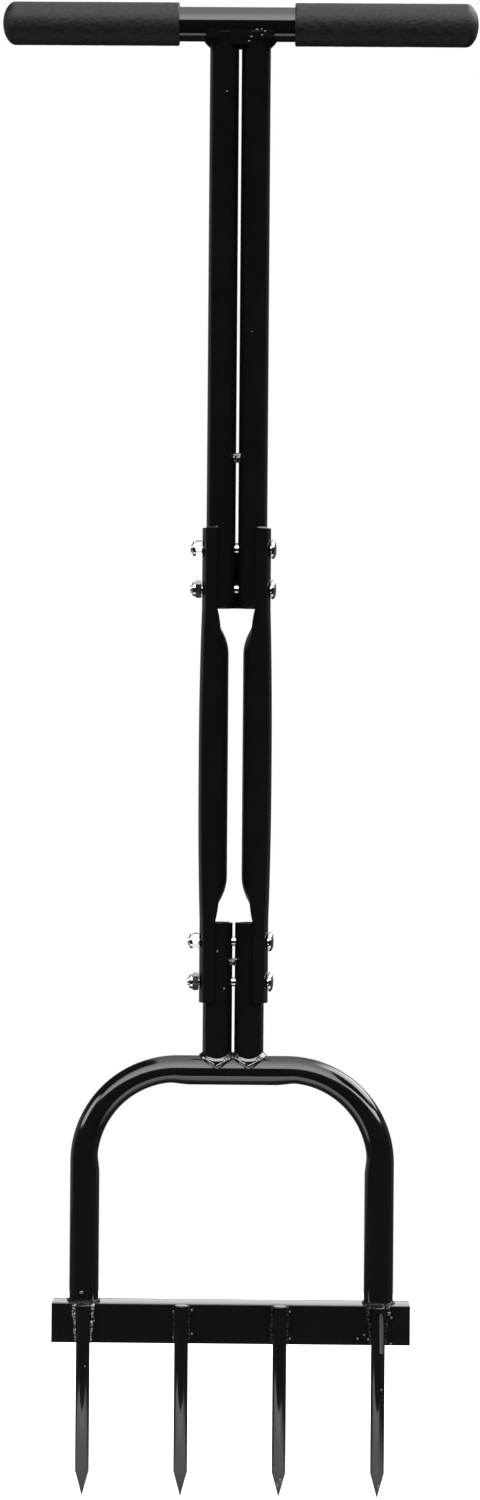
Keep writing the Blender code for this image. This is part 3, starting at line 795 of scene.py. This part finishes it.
def thread():
    bm = bmesh.new()
    start = BOLT_END + 0.0004
    root = BOLT_RADIUS - 0.0007
    corners = [bm.verts.new((radius, 0, start + PITCH * share)) for radius, share in
               ((root, 0), (BOLT_RADIUS, 0.44), (BOLT_RADIUS, 0.56), (root, 1))]
    edges = [bm.edges.new((corners[i - 1], corners[i])) for i in range(4)]
    first = bmesh.ops.contextual_create(bm, geom=edges)["faces"]
    wound = bmesh.ops.spin(bm, geom=corners + edges, cent=(0, 0, 0), axis=(0, 0, 1),
                           dvec=(0, 0, PITCH / THREAD_STEPS), angle=tau * THREAD_TURNS,
                           steps=THREAD_STEPS * THREAD_TURNS)
    bmesh.ops.contextual_create(bm, geom=edges_in(wound["geom_last"]))
    print("thread", len(first), "start face", len(bm.verts), "corners")
    return bm


def recess_wedges():
    """Two crossed wedges, narrow at the bottom, that a Boolean takes out of the head."""
    wedges = []
    for angle in (0, RIGHT_ANGLE):
        bm = bmesh.new()
        bmesh.ops.create_cone(bm, cap_ends=True, segments=4, radius1=RECESS_FLOOR,
                              radius2=RECESS_MOUTH, depth=RECESS_DEPTH)
        turn(bm, pi / 4, "Z")
        bmesh.ops.scale(bm, verts=bm.verts[:], vec=(1, 0.30, 1))
        turn(bm, angle, "Z")
        wedges.append(as_object("wedge", move(bm, (0, 0, SEAT + HEAD_HEIGHT - 0.0004))))
    return wedges


bolt_shape = as_object("bolt_shape", spun(bolt_outline(), 64))
carve(bolt_shape, *recess_wedges(), smooth_angle=30)
print("bolt", len(bolt_shape.data.polygons), "faces")
thread_mesh = thread()
thread_mesh.from_mesh(bolt_shape.data)
for number, height in enumerate(BOLT_HEIGHTS, 1):
    bolt = thread_mesh.copy()
    turn(bolt, radians(23 + 31 * number), "Z")
    lay(bolt, 1, (0, AXIS_Y, height))
    dress(as_object(f"domed_bolt_{number}", bolt, 30), f"bolt_{number}", material=zinc, slot="zinc")
bpy.data.objects.remove(bolt_shape, do_unlink=True)
thread_mesh.free()

# %% [markdown]
# Lock nuts
#
# A lock nut starts as a turned blank with a collar, and six flats are milled on it. The mesh
# follows that: the blank is spun, and a plane cuts away one side six times. Where the flats cut
# the chamfer they leave the curved lines that a real nut has. A ring of nylon sits in the collar.

# %% Lock nuts
ACROSS_FLATS = 0.0100
CORNER_RADIUS = ACROSS_FLATS / 2 / cos(radians(30))
NUT_HEIGHT = 0.0060
HEX_HEIGHT = 0.0040
COLLAR = 0.0047
COLLAR_ROUND = 0.0010
COLLAR_WALL = 0.0013
RING_DEPTH = 0.0012
NUT_TURNS = (8, 21, 0, 14)


def nut_blank():
    bore = BOLT_RADIUS + CLEARANCE
    chamfer = (CORNER_RADIUS - ACROSS_FLATS / 2) * tan(radians(30))
    corner = CORNER_RADIUS + 0.0002
    ring_z = NUT_HEIGHT - RING_DEPTH
    outline = [(bore, 0.0004), (bore + 0.0004, 0), (ACROSS_FLATS / 2, 0), (corner, chamfer),
               (corner, HEX_HEIGHT - chamfer), (COLLAR, HEX_HEIGHT), (COLLAR, ring_z)]
    outline += round_over(COLLAR - COLLAR_ROUND, NUT_HEIGHT - COLLAR_ROUND, COLLAR_ROUND,
                          COLLAR_ROUND, 5)[1:]
    outline += [(COLLAR - COLLAR_WALL, NUT_HEIGHT - 0.0003), (COLLAR - COLLAR_WALL, ring_z),
                (bore, ring_z)]
    return spun(outline, 96, closed=True)


def mill_flats(bm):
    for flat in range(6):
        angle = radians(30 + 60 * flat)
        outwards = Vector((cos(angle), sin(angle), 0))
        cut = bmesh.ops.bisect_plane(bm, geom=bm.verts[:] + bm.edges[:] + bm.faces[:],
                                     dist=MERGE_DISTANCE, plane_co=outwards * ACROSS_FLATS / 2,
                                     plane_no=outwards, clear_outer=True)
        bmesh.ops.contextual_create(bm, geom=edges_in(cut["geom_cut"]))
    return bm


nut_shape = mill_flats(nut_blank())
open_edges = sum(edge.is_boundary for edge in nut_shape.edges)
print("nut", len(nut_shape.faces), "faces, open edges", open_edges)
for number, height in enumerate(BOLT_HEIGHTS, 1):
    nut = nut_shape.copy()
    turn(nut, radians(NUT_TURNS[number - 1]), "Z")
    lay(nut, -1, (-SEAT, AXIS_Y, height))
    dress(as_object(f"lock_nut_{number}", nut, 25), f"nut_{number}", material=zinc, slot="zinc")

    inner = BOLT_RADIUS + 0.0001
    outer = COLLAR - COLLAR_WALL - 0.00005
    top = NUT_HEIGHT - 0.0006
    ring = spun([(inner, top - 0.0005), (outer, top - 0.0005), (outer, top), (inner + 0.0003, top),
                 (inner, top - 0.0002)], 48, closed=True)
    insert = as_object(f"nylon_ring_{number}", lay(ring, -1, (-SEAT, AXIS_Y, height)))
    insert.data.materials.append(nylon)
    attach(insert, "root")
nut_shape.free()

# %% [markdown]
# Bent frame
#
# One tube is bent twice. On the mesh, a ring of corners is pulled up the leg, spun a quarter turn
# round the bend's centre, pulled across and spun down again. Thin tube doesn't bend perfectly: the
# inside of each bend is pushed a little flat, and the step at its ends shows in the reflections.

# %% Bent frame
LEG_X = 0.0954
BEND_RADIUS = 0.0600
BEND_STEPS = 36
EASE = 0.0080
EASE_STEPS = 6
FLATTENING = 0.0014


def pull(bm, edges, vec):
    """Extrudes a ring of edges and moves the new ring. Returns the new ring's edges."""
    made = bmesh.ops.extrude_edge_only(bm, edges=edges)["geom"]
    corners = corners_in(made)
    bmesh.ops.translate(bm, verts=corners, vec=vec)
    return [edge for edge in edges_in(made) if set(edge.verts) <= set(corners)]


def ease(bm, edges, x, z):
    """Pulls a ring on in short steps, where a bend's flattening fades out."""
    for _ in range(EASE_STEPS):
        edges = pull(bm, edges, (x / EASE_STEPS, 0, z / EASE_STEPS))
    return edges


def bend(bm, edges, centre):
    ring = list({vert for edge in edges for vert in edge.verts})
    made = bmesh.ops.spin(bm, geom=ring + edges, cent=centre, axis=(0, 1, 0), angle=RIGHT_ANGLE,
                          steps=BEND_STEPS)
    return edges_in(made["geom_last"])


def flatten_bends(bm):
    """Pushes the inner side of each bend outwards, away from the bend's centre."""
    for vert in bm.verts:
        side = copysign(1, vert.co.x)
        centre = Vector((side * (LEG_X - BEND_RADIUS), CROSSPIECE_Z - BEND_RADIUS))
        spoke = Vector((vert.co.x, vert.co.z)) - centre
        before = max(-spoke.y, -spoke.x * side, 0.0)
        if before > 0:
            inward = Vector((-side, 0)) if -spoke.y > -spoke.x * side else Vector((0, -1))
            into_bend = -before
        else:
            inward = (-spoke).normalized()
            angle = atan2(spoke.y, spoke.x * side)
            into_bend = min(angle, RIGHT_ANGLE - angle) * BEND_RADIUS
        amount = min(max((into_bend + EASE) / (2 * EASE), 0.0), 1.0)
        amount = amount * amount * (3 - 2 * amount)
        cosine = max(0.0, (BEND_RADIUS + spoke.dot(inward)) / TUBE_RADIUS)
        shift = -inward * FLATTENING * amount * cosine ** 2
        vert.co.x += shift.x
        vert.co.z += shift.y
    return bm


bm = bmesh.new()
bmesh.ops.create_circle(bm, segments=64, radius=TUBE_RADIUS)
move(bm, (-LEG_X, 0, frame_low.z))
leg_length = CROSSPIECE_Z - BEND_RADIUS - frame_low.z
crosspiece = 2 * (LEG_X - BEND_RADIUS)
ring = pull(bm, bm.edges[:], (0, 0, leg_length - EASE))
ring = ease(bm, ring, 0, EASE)
ring = bend(bm, ring, (BEND_RADIUS - LEG_X, 0, CROSSPIECE_Z - BEND_RADIUS))
ring = ease(bm, ring, EASE, 0)
ring = pull(bm, ring, (crosspiece - 2 * EASE, 0, 0))
ring = ease(bm, ring, EASE, 0)
ring = bend(bm, ring, (LEG_X - BEND_RADIUS, 0, CROSSPIECE_Z - BEND_RADIUS))
ring = ease(bm, ring, 0, -EASE)
pull(bm, ring, (0, 0, EASE - leg_length))
bmesh.ops.remove_doubles(bm, verts=bm.verts[:], dist=MERGE_DISTANCE)
flatten_bends(bm)
bmesh.ops.recalc_face_normals(bm, faces=bm.faces[:])
bm.normal_update()
bmesh.ops.solidify(bm, geom=bm.faces[:], thickness=TUBE_WALL)
move(bm, (0, AXIS_Y, 0))
bent = dress(as_object("bent_frame", bm), "u_frame")
print("bent frame", [round(value, 4) for value in (*bent.dimensions, bent.bound_box[0][2])])

# %% [markdown]
# Angle iron bar
#
# Rolled angle has a sharp heel, a rounded root and rounded toes. The L is drawn as one flat face,
# its corners are bevelled one radius at a time, and the face is then pulled along the bar. The saw
# leaves a small burr at the ends, which paint rounds off.

# %% Bar
BAR_THICKNESS = 0.0030
HEEL_ROUND = 0.0004
ROOT_ROUND = 0.0030
TOE_ROUND = 0.0010
EDGE_ROUND = 0.00025
END_ROUND = 0.0002

bar_low, bar_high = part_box("spike_bar")
inner_y = bar_low.y + BAR_THICKNESS
inner_z = bar_high.z - BAR_THICKNESS
section = [(bar_low.y, bar_low.z, EDGE_ROUND), (inner_y, bar_low.z, TOE_ROUND),
           (inner_y, inner_z, ROOT_ROUND), (bar_high.y, inner_z, TOE_ROUND),
           (bar_high.y, bar_high.z, EDGE_ROUND), (bar_low.y, bar_high.z, HEEL_ROUND)]
bm = bmesh.new()
verts = [bm.verts.new((bar_low.x, y, z)) for y, z, radius in section]
bm.faces.new(verts)
for vert, (y, z, radius) in zip(verts, section):
    bmesh.ops.bevel(bm, geom=[vert], offset=radius, segments=6, profile=0.5, affect="VERTICES",
                    material=-1)
pulled = bmesh.ops.extrude_face_region(bm, geom=bm.faces[:])["geom"]
bmesh.ops.translate(bm, verts=corners_in(pulled), vec=(bar_high.x - bar_low.x, 0, 0))
ends = [edge for edge in bm.edges if abs(edge.verts[0].co.x - edge.verts[1].co.x) < 1e-6]
bmesh.ops.bevel(bm, geom=ends, offset=END_ROUND, segments=2, profile=0.5, affect="EDGES",
                material=-1)
dress(as_object("angle_bar", bm), "spike_bar")

# %% [markdown]
# Spikes
#
# The spikes are plain 9 mm rods with a turned point. Their tops are cropped and slightly rounded.

# %% Spikes
SPIKE_RADIUS = 0.0045
POINT_LENGTH = 0.0155
TIP_RADIUS = 0.0003
TOP_ROUND = 0.0007
SPIKE_Y = -0.0058
SPIKE_COUNT = 4
spike_x = []


def spike_outline(low, high):
    shoulder = low + POINT_LENGTH
    outline = [(0, low), (TIP_RADIUS * 0.7, low), (TIP_RADIUS, low + 0.0003),
               (SPIKE_RADIUS * 0.985, shoulder - 0.0003), (SPIKE_RADIUS, shoulder + 0.0002)]
    outline += round_over(SPIKE_RADIUS - TOP_ROUND, high - TOP_ROUND, TOP_ROUND, TOP_ROUND, 6)
    return outline + [(0, high)]


for number in range(1, SPIKE_COUNT + 1):
    low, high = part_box(f"spike_{number}")
    spike_x.append((low.x + high.x) / 2)
    rod = move(spun(spike_outline(low.z, high.z), 64), (spike_x[-1], SPIKE_Y, 0))
    dress(as_object(f"pointed_rod_{number}", rod), f"spike_{number}")

# %% [markdown]
# Beads of weld
#
# A welder lays a bead one small puddle after another, and each freezes as a ripple. The mesh is
# made in that way: a row of flattened drops that overlap, each a little out of line. A Remesh
# modifier melts them into one skin and a Smooth modifier softens the valleys between them. At the
# front of the handle weld, an upright curtain of drops joins the two tubes.

# %% Weld beads
VOXEL = 0.00030
dice = random.Random(7)


def drop(bm, place, size, along=(0, 0, 1), fineness=2):
    """One frozen puddle: an egg whose third size lies along the bead."""
    turned = Vector((0, 0, 1)).rotation_difference(Vector(along))
    matrix = Matrix.LocRotScale(Vector(place), turned, Vector(size))
    bmesh.ops.create_icosphere(bm, subdivisions=fineness, radius=1, matrix=matrix)


def run_bead(bm, path, radius, ripple=0.0011, wander=0.10):
    """Lays drops along a path of points. radius is a number or a list with one for each point."""
    radii = radius if isinstance(radius, list) else [radius] * len(path)
    left = 0.0
    for start, end, first, second in zip(path, path[1:], radii, radii[1:]):
        step = end - start
        while left < step.length:
            share = left / step.length
            size = (first * (1 - share) + second * share) * (1 + dice.uniform(-wander, wander))
            shift = Vector([dice.uniform(-wander, wander) * size for _ in range(3)])
            drop(bm, start + step * share + shift, (size, size, ripple * 1.15), step.normalized())
            left += ripple
        left -= step.length


def melt(name, bm, *nodes, paint=tube_paint, voxel=VOXEL, rounds=3):
    """Melts the drops together and finishes the bead."""
    bead = as_object(name, bm)
    remesh = bead.modifiers.new("melt", "REMESH")
    remesh.mode = "VOXEL"
    remesh.voxel_size = voxel
    soften = bead.modifiers.new("soften", "SMOOTH")
    soften.factor = 0.5
    soften.iterations = rounds
    apply_modifiers(bead, ALL_SMOOTH)
    dress(bead, *nodes, material=paint)


WEAVE_STEPS = 60
WEAVE_DROP = 0.0014
WEAVE_PITCH = 0.0010
WEAVE_WANDER = 0.06


def weave(bm, side, rows_at):
    """Rows of drops round a tube. rows_at(angle) gives the height and the thickness of each row."""
    for step in range(WEAVE_STEPS):
        angle = tau * step / WEAVE_STEPS
        out = Vector((cos(angle), sin(angle), 0))
        for height, thickness in rows_at(angle):
            size = WEAVE_DROP * (1 + dice.uniform(-WEAVE_WANDER, WEAVE_WANDER))
            place = Vector((side * TUBE_X, AXIS_Y, height)) + out * (TUBE_RADIUS + thickness - size)
            drop(bm, place, (size, size, size))


def heights(high, low):
    """Heights of rows that are about one pitch apart, from the first value to the second."""
    count = max(2, ceil(abs(high - low) / WEAVE_PITCH))
    return [high + (low - high) * row / (count - 1) for row in range(count)]


HANDLE_TOE = 0.0150
HANDLE_LEG = 0.0032
LEAST_LEG = 0.0006
HANDLE_REACH = 0.0056
GAP_BOTTOM = 0.0136
GAP_HALF_DEPTH = 0.0066
CURTAIN_Y = 0.00966
CURTAIN_END = 0.0100
CURTAIN_FOOT = 0.0140
CURTAIN_FOOT_REACH = 0.0060
CURTAIN_TOP_REACH = TUBE_X + TUBE_RADIUS + 0.0026
CURTAIN_TAPER = 0.35
CURTAIN_LEAN = 0.05
STEEP = sin(radians(38))


def handle_rows(angle):
    """The handle weld slopes from low on the handle's round down to its toe on the upper tube."""
    steep = abs(sin(angle))
    seam = sqrt(HANDLE_RADIUS ** 2 - (TUBE_RADIUS * steep) ** 2)
    leg = HANDLE_LEG * cos(angle) ** 2 + LEAST_LEG
    toe = HANDLE_TOE + 0.0003 * sin(5 * angle)

    def thickness(drop_z):
        plain = leg * (toe - drop_z) / (toe - seam)
        if steep < STEEP:
            return plain
        curtain = (CURTAIN_Y / steep - TUBE_RADIUS) * min(1, (toe - drop_z) / (toe - CURTAIN_END))
        return max(plain, curtain) if drop_z > seam else curtain

    first = HANDLE_REACH if steep > STEEP else seam
    return [(HANDLE_Z - drop_z, thickness(drop_z)) for drop_z in heights(first, toe)]


bm = bmesh.new()
for side in (-1, 1):
    weave(bm, side, handle_rows)
run_bead(bm, [Vector((0, AXIS_Y + y, HANDLE_Z - GAP_BOTTOM))
              for y in (-GAP_HALF_DEPTH, GAP_HALF_DEPTH)], 0.0017, ripple=0.0010)
for drop_z in heights(HANDLE_REACH + 0.0001, CURTAIN_FOOT):
    below = max(0, drop_z - CURTAIN_END)
    reach = CURTAIN_FOOT_REACH if below else \
        CURTAIN_TOP_REACH - CURTAIN_TAPER * (drop_z - HANDLE_REACH)
    y = AXIS_Y - CURTAIN_Y + WEAVE_DROP + CURTAIN_LEAN * below
    path = [Vector((x, y, HANDLE_Z - drop_z)) for x in (-reach, reach)]
    run_bead(bm, path, WEAVE_DROP, ripple=0.0009, wander=0.04)
melt("handle_weld_bead", bm, "handle_weld", paint=soot_paint, rounds=8)


STUB_SEAM = 0.0012
STUB_TOP = (0.0083, 0.0037)
STUB_THICKNESS = (0.0010, 0.0014)
STUB_LEAN = 0.24
STUB_RING = (CROSSPIECE_Z + 0.0030, 0.0062)
STUB_RING_REACH = (TUBE_RADIUS - 0.0001, 0.0012)


def stub_rows(angle):
    """The stub weld fills the hollow between stub and frame, and is highest at the sides. Each
    pair above is a size at the front and the back, and what the sides add to it."""
    flat = abs(cos(angle))
    top = STUB_TOP[0] + STUB_TOP[1] * flat ** 2
    slope = 0.50 + 0.50 * flat ** 2
    limit = STUB_THICKNESS[0] + STUB_THICKNESS[1] * flat ** 2 + 0.0001 * sin(14 * angle)
    lean = STUB_LEAN * (1 - flat)
    return [(CROSSPIECE_Z + height,
             min((top - height) * slope - 0.0002, limit - lean * (top - height - limit / slope)))
            for height in heights(top, max(TUBE_RADIUS * flat, STUB_SEAM))]


def ring_round(x, steps, reach, height):
    """A closed path round an upright tube. reach and height are such pairs."""
    path = []
    for step in range(steps):
        angle = tau * step / steps
        flat = abs(cos(angle))
        out = reach[0] + reach[1] * flat
        path.append(Vector((x + out * cos(angle), AXIS_Y + out * sin(angle),
                            height[0] + height[1] * flat)))
    return path + path[:1]


bm = bmesh.new()
for side in (-1, 1):
    weave(bm, side, stub_rows)
    path = ring_round(side * TUBE_X, 48, STUB_RING_REACH, STUB_RING)
    run_bead(bm, path, 0.0010, ripple=0.0008, wander=0.05)
melt("stub_weld_bead", bm, "stub_weld", paint=weld_paint, rounds=4)

for name, half_height in (("upper_tack_weld", 0.0016), ("lower_tack_weld", 0.0009)):
    low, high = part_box(name)
    middle = (low + high) / 2
    bm = bmesh.new()
    for rise in (-half_height, 0, half_height):
        path = [Vector((x, middle.y + 0.0002, middle.z + rise + x * 0.1))
                for x in (-0.0018, 0, 0.0018)]
        run_bead(bm, path, 0.0017 if rise else 0.0022, ripple=0.0011, wander=0.16)
    melt(f"{name}_bead", bm, name, paint=weld_paint, voxel=0.0002)

low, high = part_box("upper_seam_weld")
bm = bmesh.new()
seam_y = (low.y + high.y) / 2
run_bead(bm, [Vector((0, seam_y, low.z + 0.0003)), Vector((0, seam_y, high.z - 0.0003))], 0.0024,
         ripple=0.0006, wander=0.02)
melt("upper_seam_bead", bm, "upper_seam_weld", rounds=8)

for side, name in SIDES:
    bm = bmesh.new()
    path = ring_round(side * LEG_X, 40, (TUBE_RADIUS, 0), (bar_high.z, 0))
    run_bead(bm, path, 0.0014, ripple=0.0013, wander=0.2)
    for row in range(3):
        y = bar_low.y + 0.0012 + row * 0.0012
        path = [Vector((side * LEG_X + x, y, bar_high.z - 0.0002)) for x in (-0.0075, 0.0075)]
        run_bead(bm, path, 0.0013, ripple=0.0017, wander=0.3)
    melt(f"{name}_foot_bead", bm, f"{name}_foot_weld", paint=bead_paint)

ROD_LUMPS = 9
ROD_MARGIN = 0.0022

for number, x in enumerate(spike_x, 1):
    outer = number in (1, SPIKE_COUNT)
    every = 2 if number == 1 else 4
    for side, name in SIDES:
        bm = bmesh.new()
        for lump in range(ROD_LUMPS):
            share = lump / (ROD_LUMPS - 1)
            size = dice.uniform(0.0012, 0.0018) + (0.0007 * share if outer else 0)
            reach = SPIKE_RADIUS + (0.0012 * share if outer else 0) + dice.uniform(-0.0003, 0.0003)
            rise = ROD_MARGIN + (bar_high.z - bar_low.z - 2 * ROD_MARGIN) * share
            place = Vector((x + side * reach, bar_low.y - 0.0006, bar_low.z + rise))
            proud = 1.0 if lump % every == 0 else 0.4
            drop(bm, place, (size, size * proud, size * dice.uniform(0.8, 1.3)))
        melt(f"rod_{number}_{name}_bead", bm, f"spike_{number}_{name}_weld", voxel=0.00022,
             rounds=1, paint=weld_paint if number == 1 else bead_paint)

# %% [markdown]
# Spatter and paint
#
# A weld throws off small balls of metal that stick where they land, and sprayed paint leaves a
# run and drops where it gathered: one run on the fourth rod, drops at the points of the third and
# the fourth, and fillets along the upper rims of the links. They are placed where the photograph
# shows them. Each spot is a small flattened ball, half sunk in the surface that it sits on.

# %% Spatter and paint drops
# The rows of spots are in tenths of a millimetre, apart from a side or a rod's number.
TENTH = 0.0001
HANDLE_SPATTER = ((107, 53, -1, 11), (138, 50, -2, 9), (158, 62, 1, 10), (139, 87, 1, 9),
                  (71, 97, 1, 10), (55, 126, 6, 10), (-165, 126, 16, 9))
SHAFT_SPATTER = ((-1, 18, 8080, 8), (1, -14, 6530, 6), (-1, -3, 2528, 9), (-1, 44, 2288, 9))
BAR_SPATTER = ((820, 0, 42, 9), (862, 0, 66, 8), (1033, 0, 10, 10), (-890, 18, 226, 15),
               (-1016, 18, 205, 10), (-368, 14, 210, 8), (-367, 14, 40, 8), (-253, 14, 218, 10),
               (-250, 14, 66, 9), (380, 14, 214, 9), (382, 14, 40, 9), (892, 14, 214, 9),
               (889, 14, 40, 10), (1018, 14, 208, 16), (1035, 10, 180, 10))
ROD_SPATTER = ((1, 16, -138, 6), (4, 22, -272, 7))
PAINT_RUN = ((0.0007, -0.0004, 0.0215), (0.0009, 0, 0.0150), (0.0009, 0.0002, 0.0040),
             (0.0010, 0.0001, -0.0040))
FILLET_REACH = 0.0103


def front_of(axis_x, axis_y, radius, offset, height):
    """A point on the front of an upright round, offset sideways from its middle."""
    return Vector((axis_x + offset, axis_y - sqrt(radius ** 2 - offset ** 2), height))


def dab(name, places):
    """One piece made of flattened balls, each (place, size)."""
    bm = bmesh.new()
    for place, size in places:
        drop(bm, place, size, fineness=3)
    dress(as_object(name, bm, ALL_SMOOTH), material=weld_paint)


def ball(tenths):
    return Vector((1, 0.5, 0.8)) * tenths * TENTH


dab("handle_spatter", [
    (Vector((x * TENTH, AXIS_Y - CURTAIN_Y + deep * TENTH, HANDLE_Z - drop_z * TENTH)), ball(size))
    for x, drop_z, deep, size in HANDLE_SPATTER])
dab("shaft_spatter", [
    (front_of(side * TUBE_X, AXIS_Y, TUBE_RADIUS, offset * TENTH, z * TENTH), ball(size))
    for side, offset, z, size in SHAFT_SPATTER])
leg_spot = (front_of(-LEG_X, AXIS_Y, TUBE_RADIUS, -0.0010, 0.0318),
            Vector((0.0016, 0.0009, 0.0013)))
bar_spots = [(Vector((x * TENTH, bar_low.y - proud * TENTH, z * TENTH)), ball(size))
             for x, proud, z, size in BAR_SPATTER]
rod_spots = [(front_of(spike_x[rod - 1], SPIKE_Y, SPIKE_RADIUS, offset * TENTH, z * TENTH),
              ball(size)) for rod, offset, z, size in ROD_SPATTER]
dab("frame_spatter", [leg_spot, *bar_spots, *rod_spots])

bm = bmesh.new()
for offset in (0.0010, 0.0018, 0.0026):
    deep = front_of(0, SPIKE_Y, SPIKE_RADIUS - 0.0004, offset, 0).y
    path = [Vector((spike_x[3] + offset + lean, max(deep, SPIKE_Y - SPIKE_RADIUS + size), z))
            for size, lean, z in PAINT_RUN]
    run_bead(bm, path, [size for size, lean, z in PAINT_RUN], ripple=0.0008, wander=0.02)
melt("paint_run", bm, paint=run_paint, voxel=0.00025)

tips = []
for rod, offset, height in ((3, 0.0011, -0.0862), (3, -0.0006, -0.0893), (4, 0.0009, -0.0898)):
    cone_radius = SPIKE_RADIUS * (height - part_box(f"spike_{rod}")[0].z) / POINT_LENGTH
    tips.append((front_of(spike_x[rod - 1], SPIKE_Y, cone_radius, offset, height),
                 Vector((0.0010, 0.0008, 0.0014))))
dab("point_drops", tips)

bm = bmesh.new()
link_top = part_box("right_mid_link")[1].z
for side, first, last, radius in ((1, 21, 77, 0.0005), (-1, 16, 43, 0.0004)):
    angles = [radians(first + (last - first) * step / 12) for step in range(13)]
    path = [Vector((side * (TUBE_X + FILLET_REACH * sin(angle)),
                    AXIS_Y - FILLET_REACH * cos(angle), link_top + 0.0002))
            for angle in angles]
    run_bead(bm, path, radius, ripple=0.0004, wander=0.1)
drop(bm, Vector((-TUBE_X - 0.0027, AXIS_Y - 0.0099, link_top + 0.0004)), (0.0009, 0.0007, 0.0007))
melt("rim_fillets", bm, paint=weld_paint, voxel=0.00015)
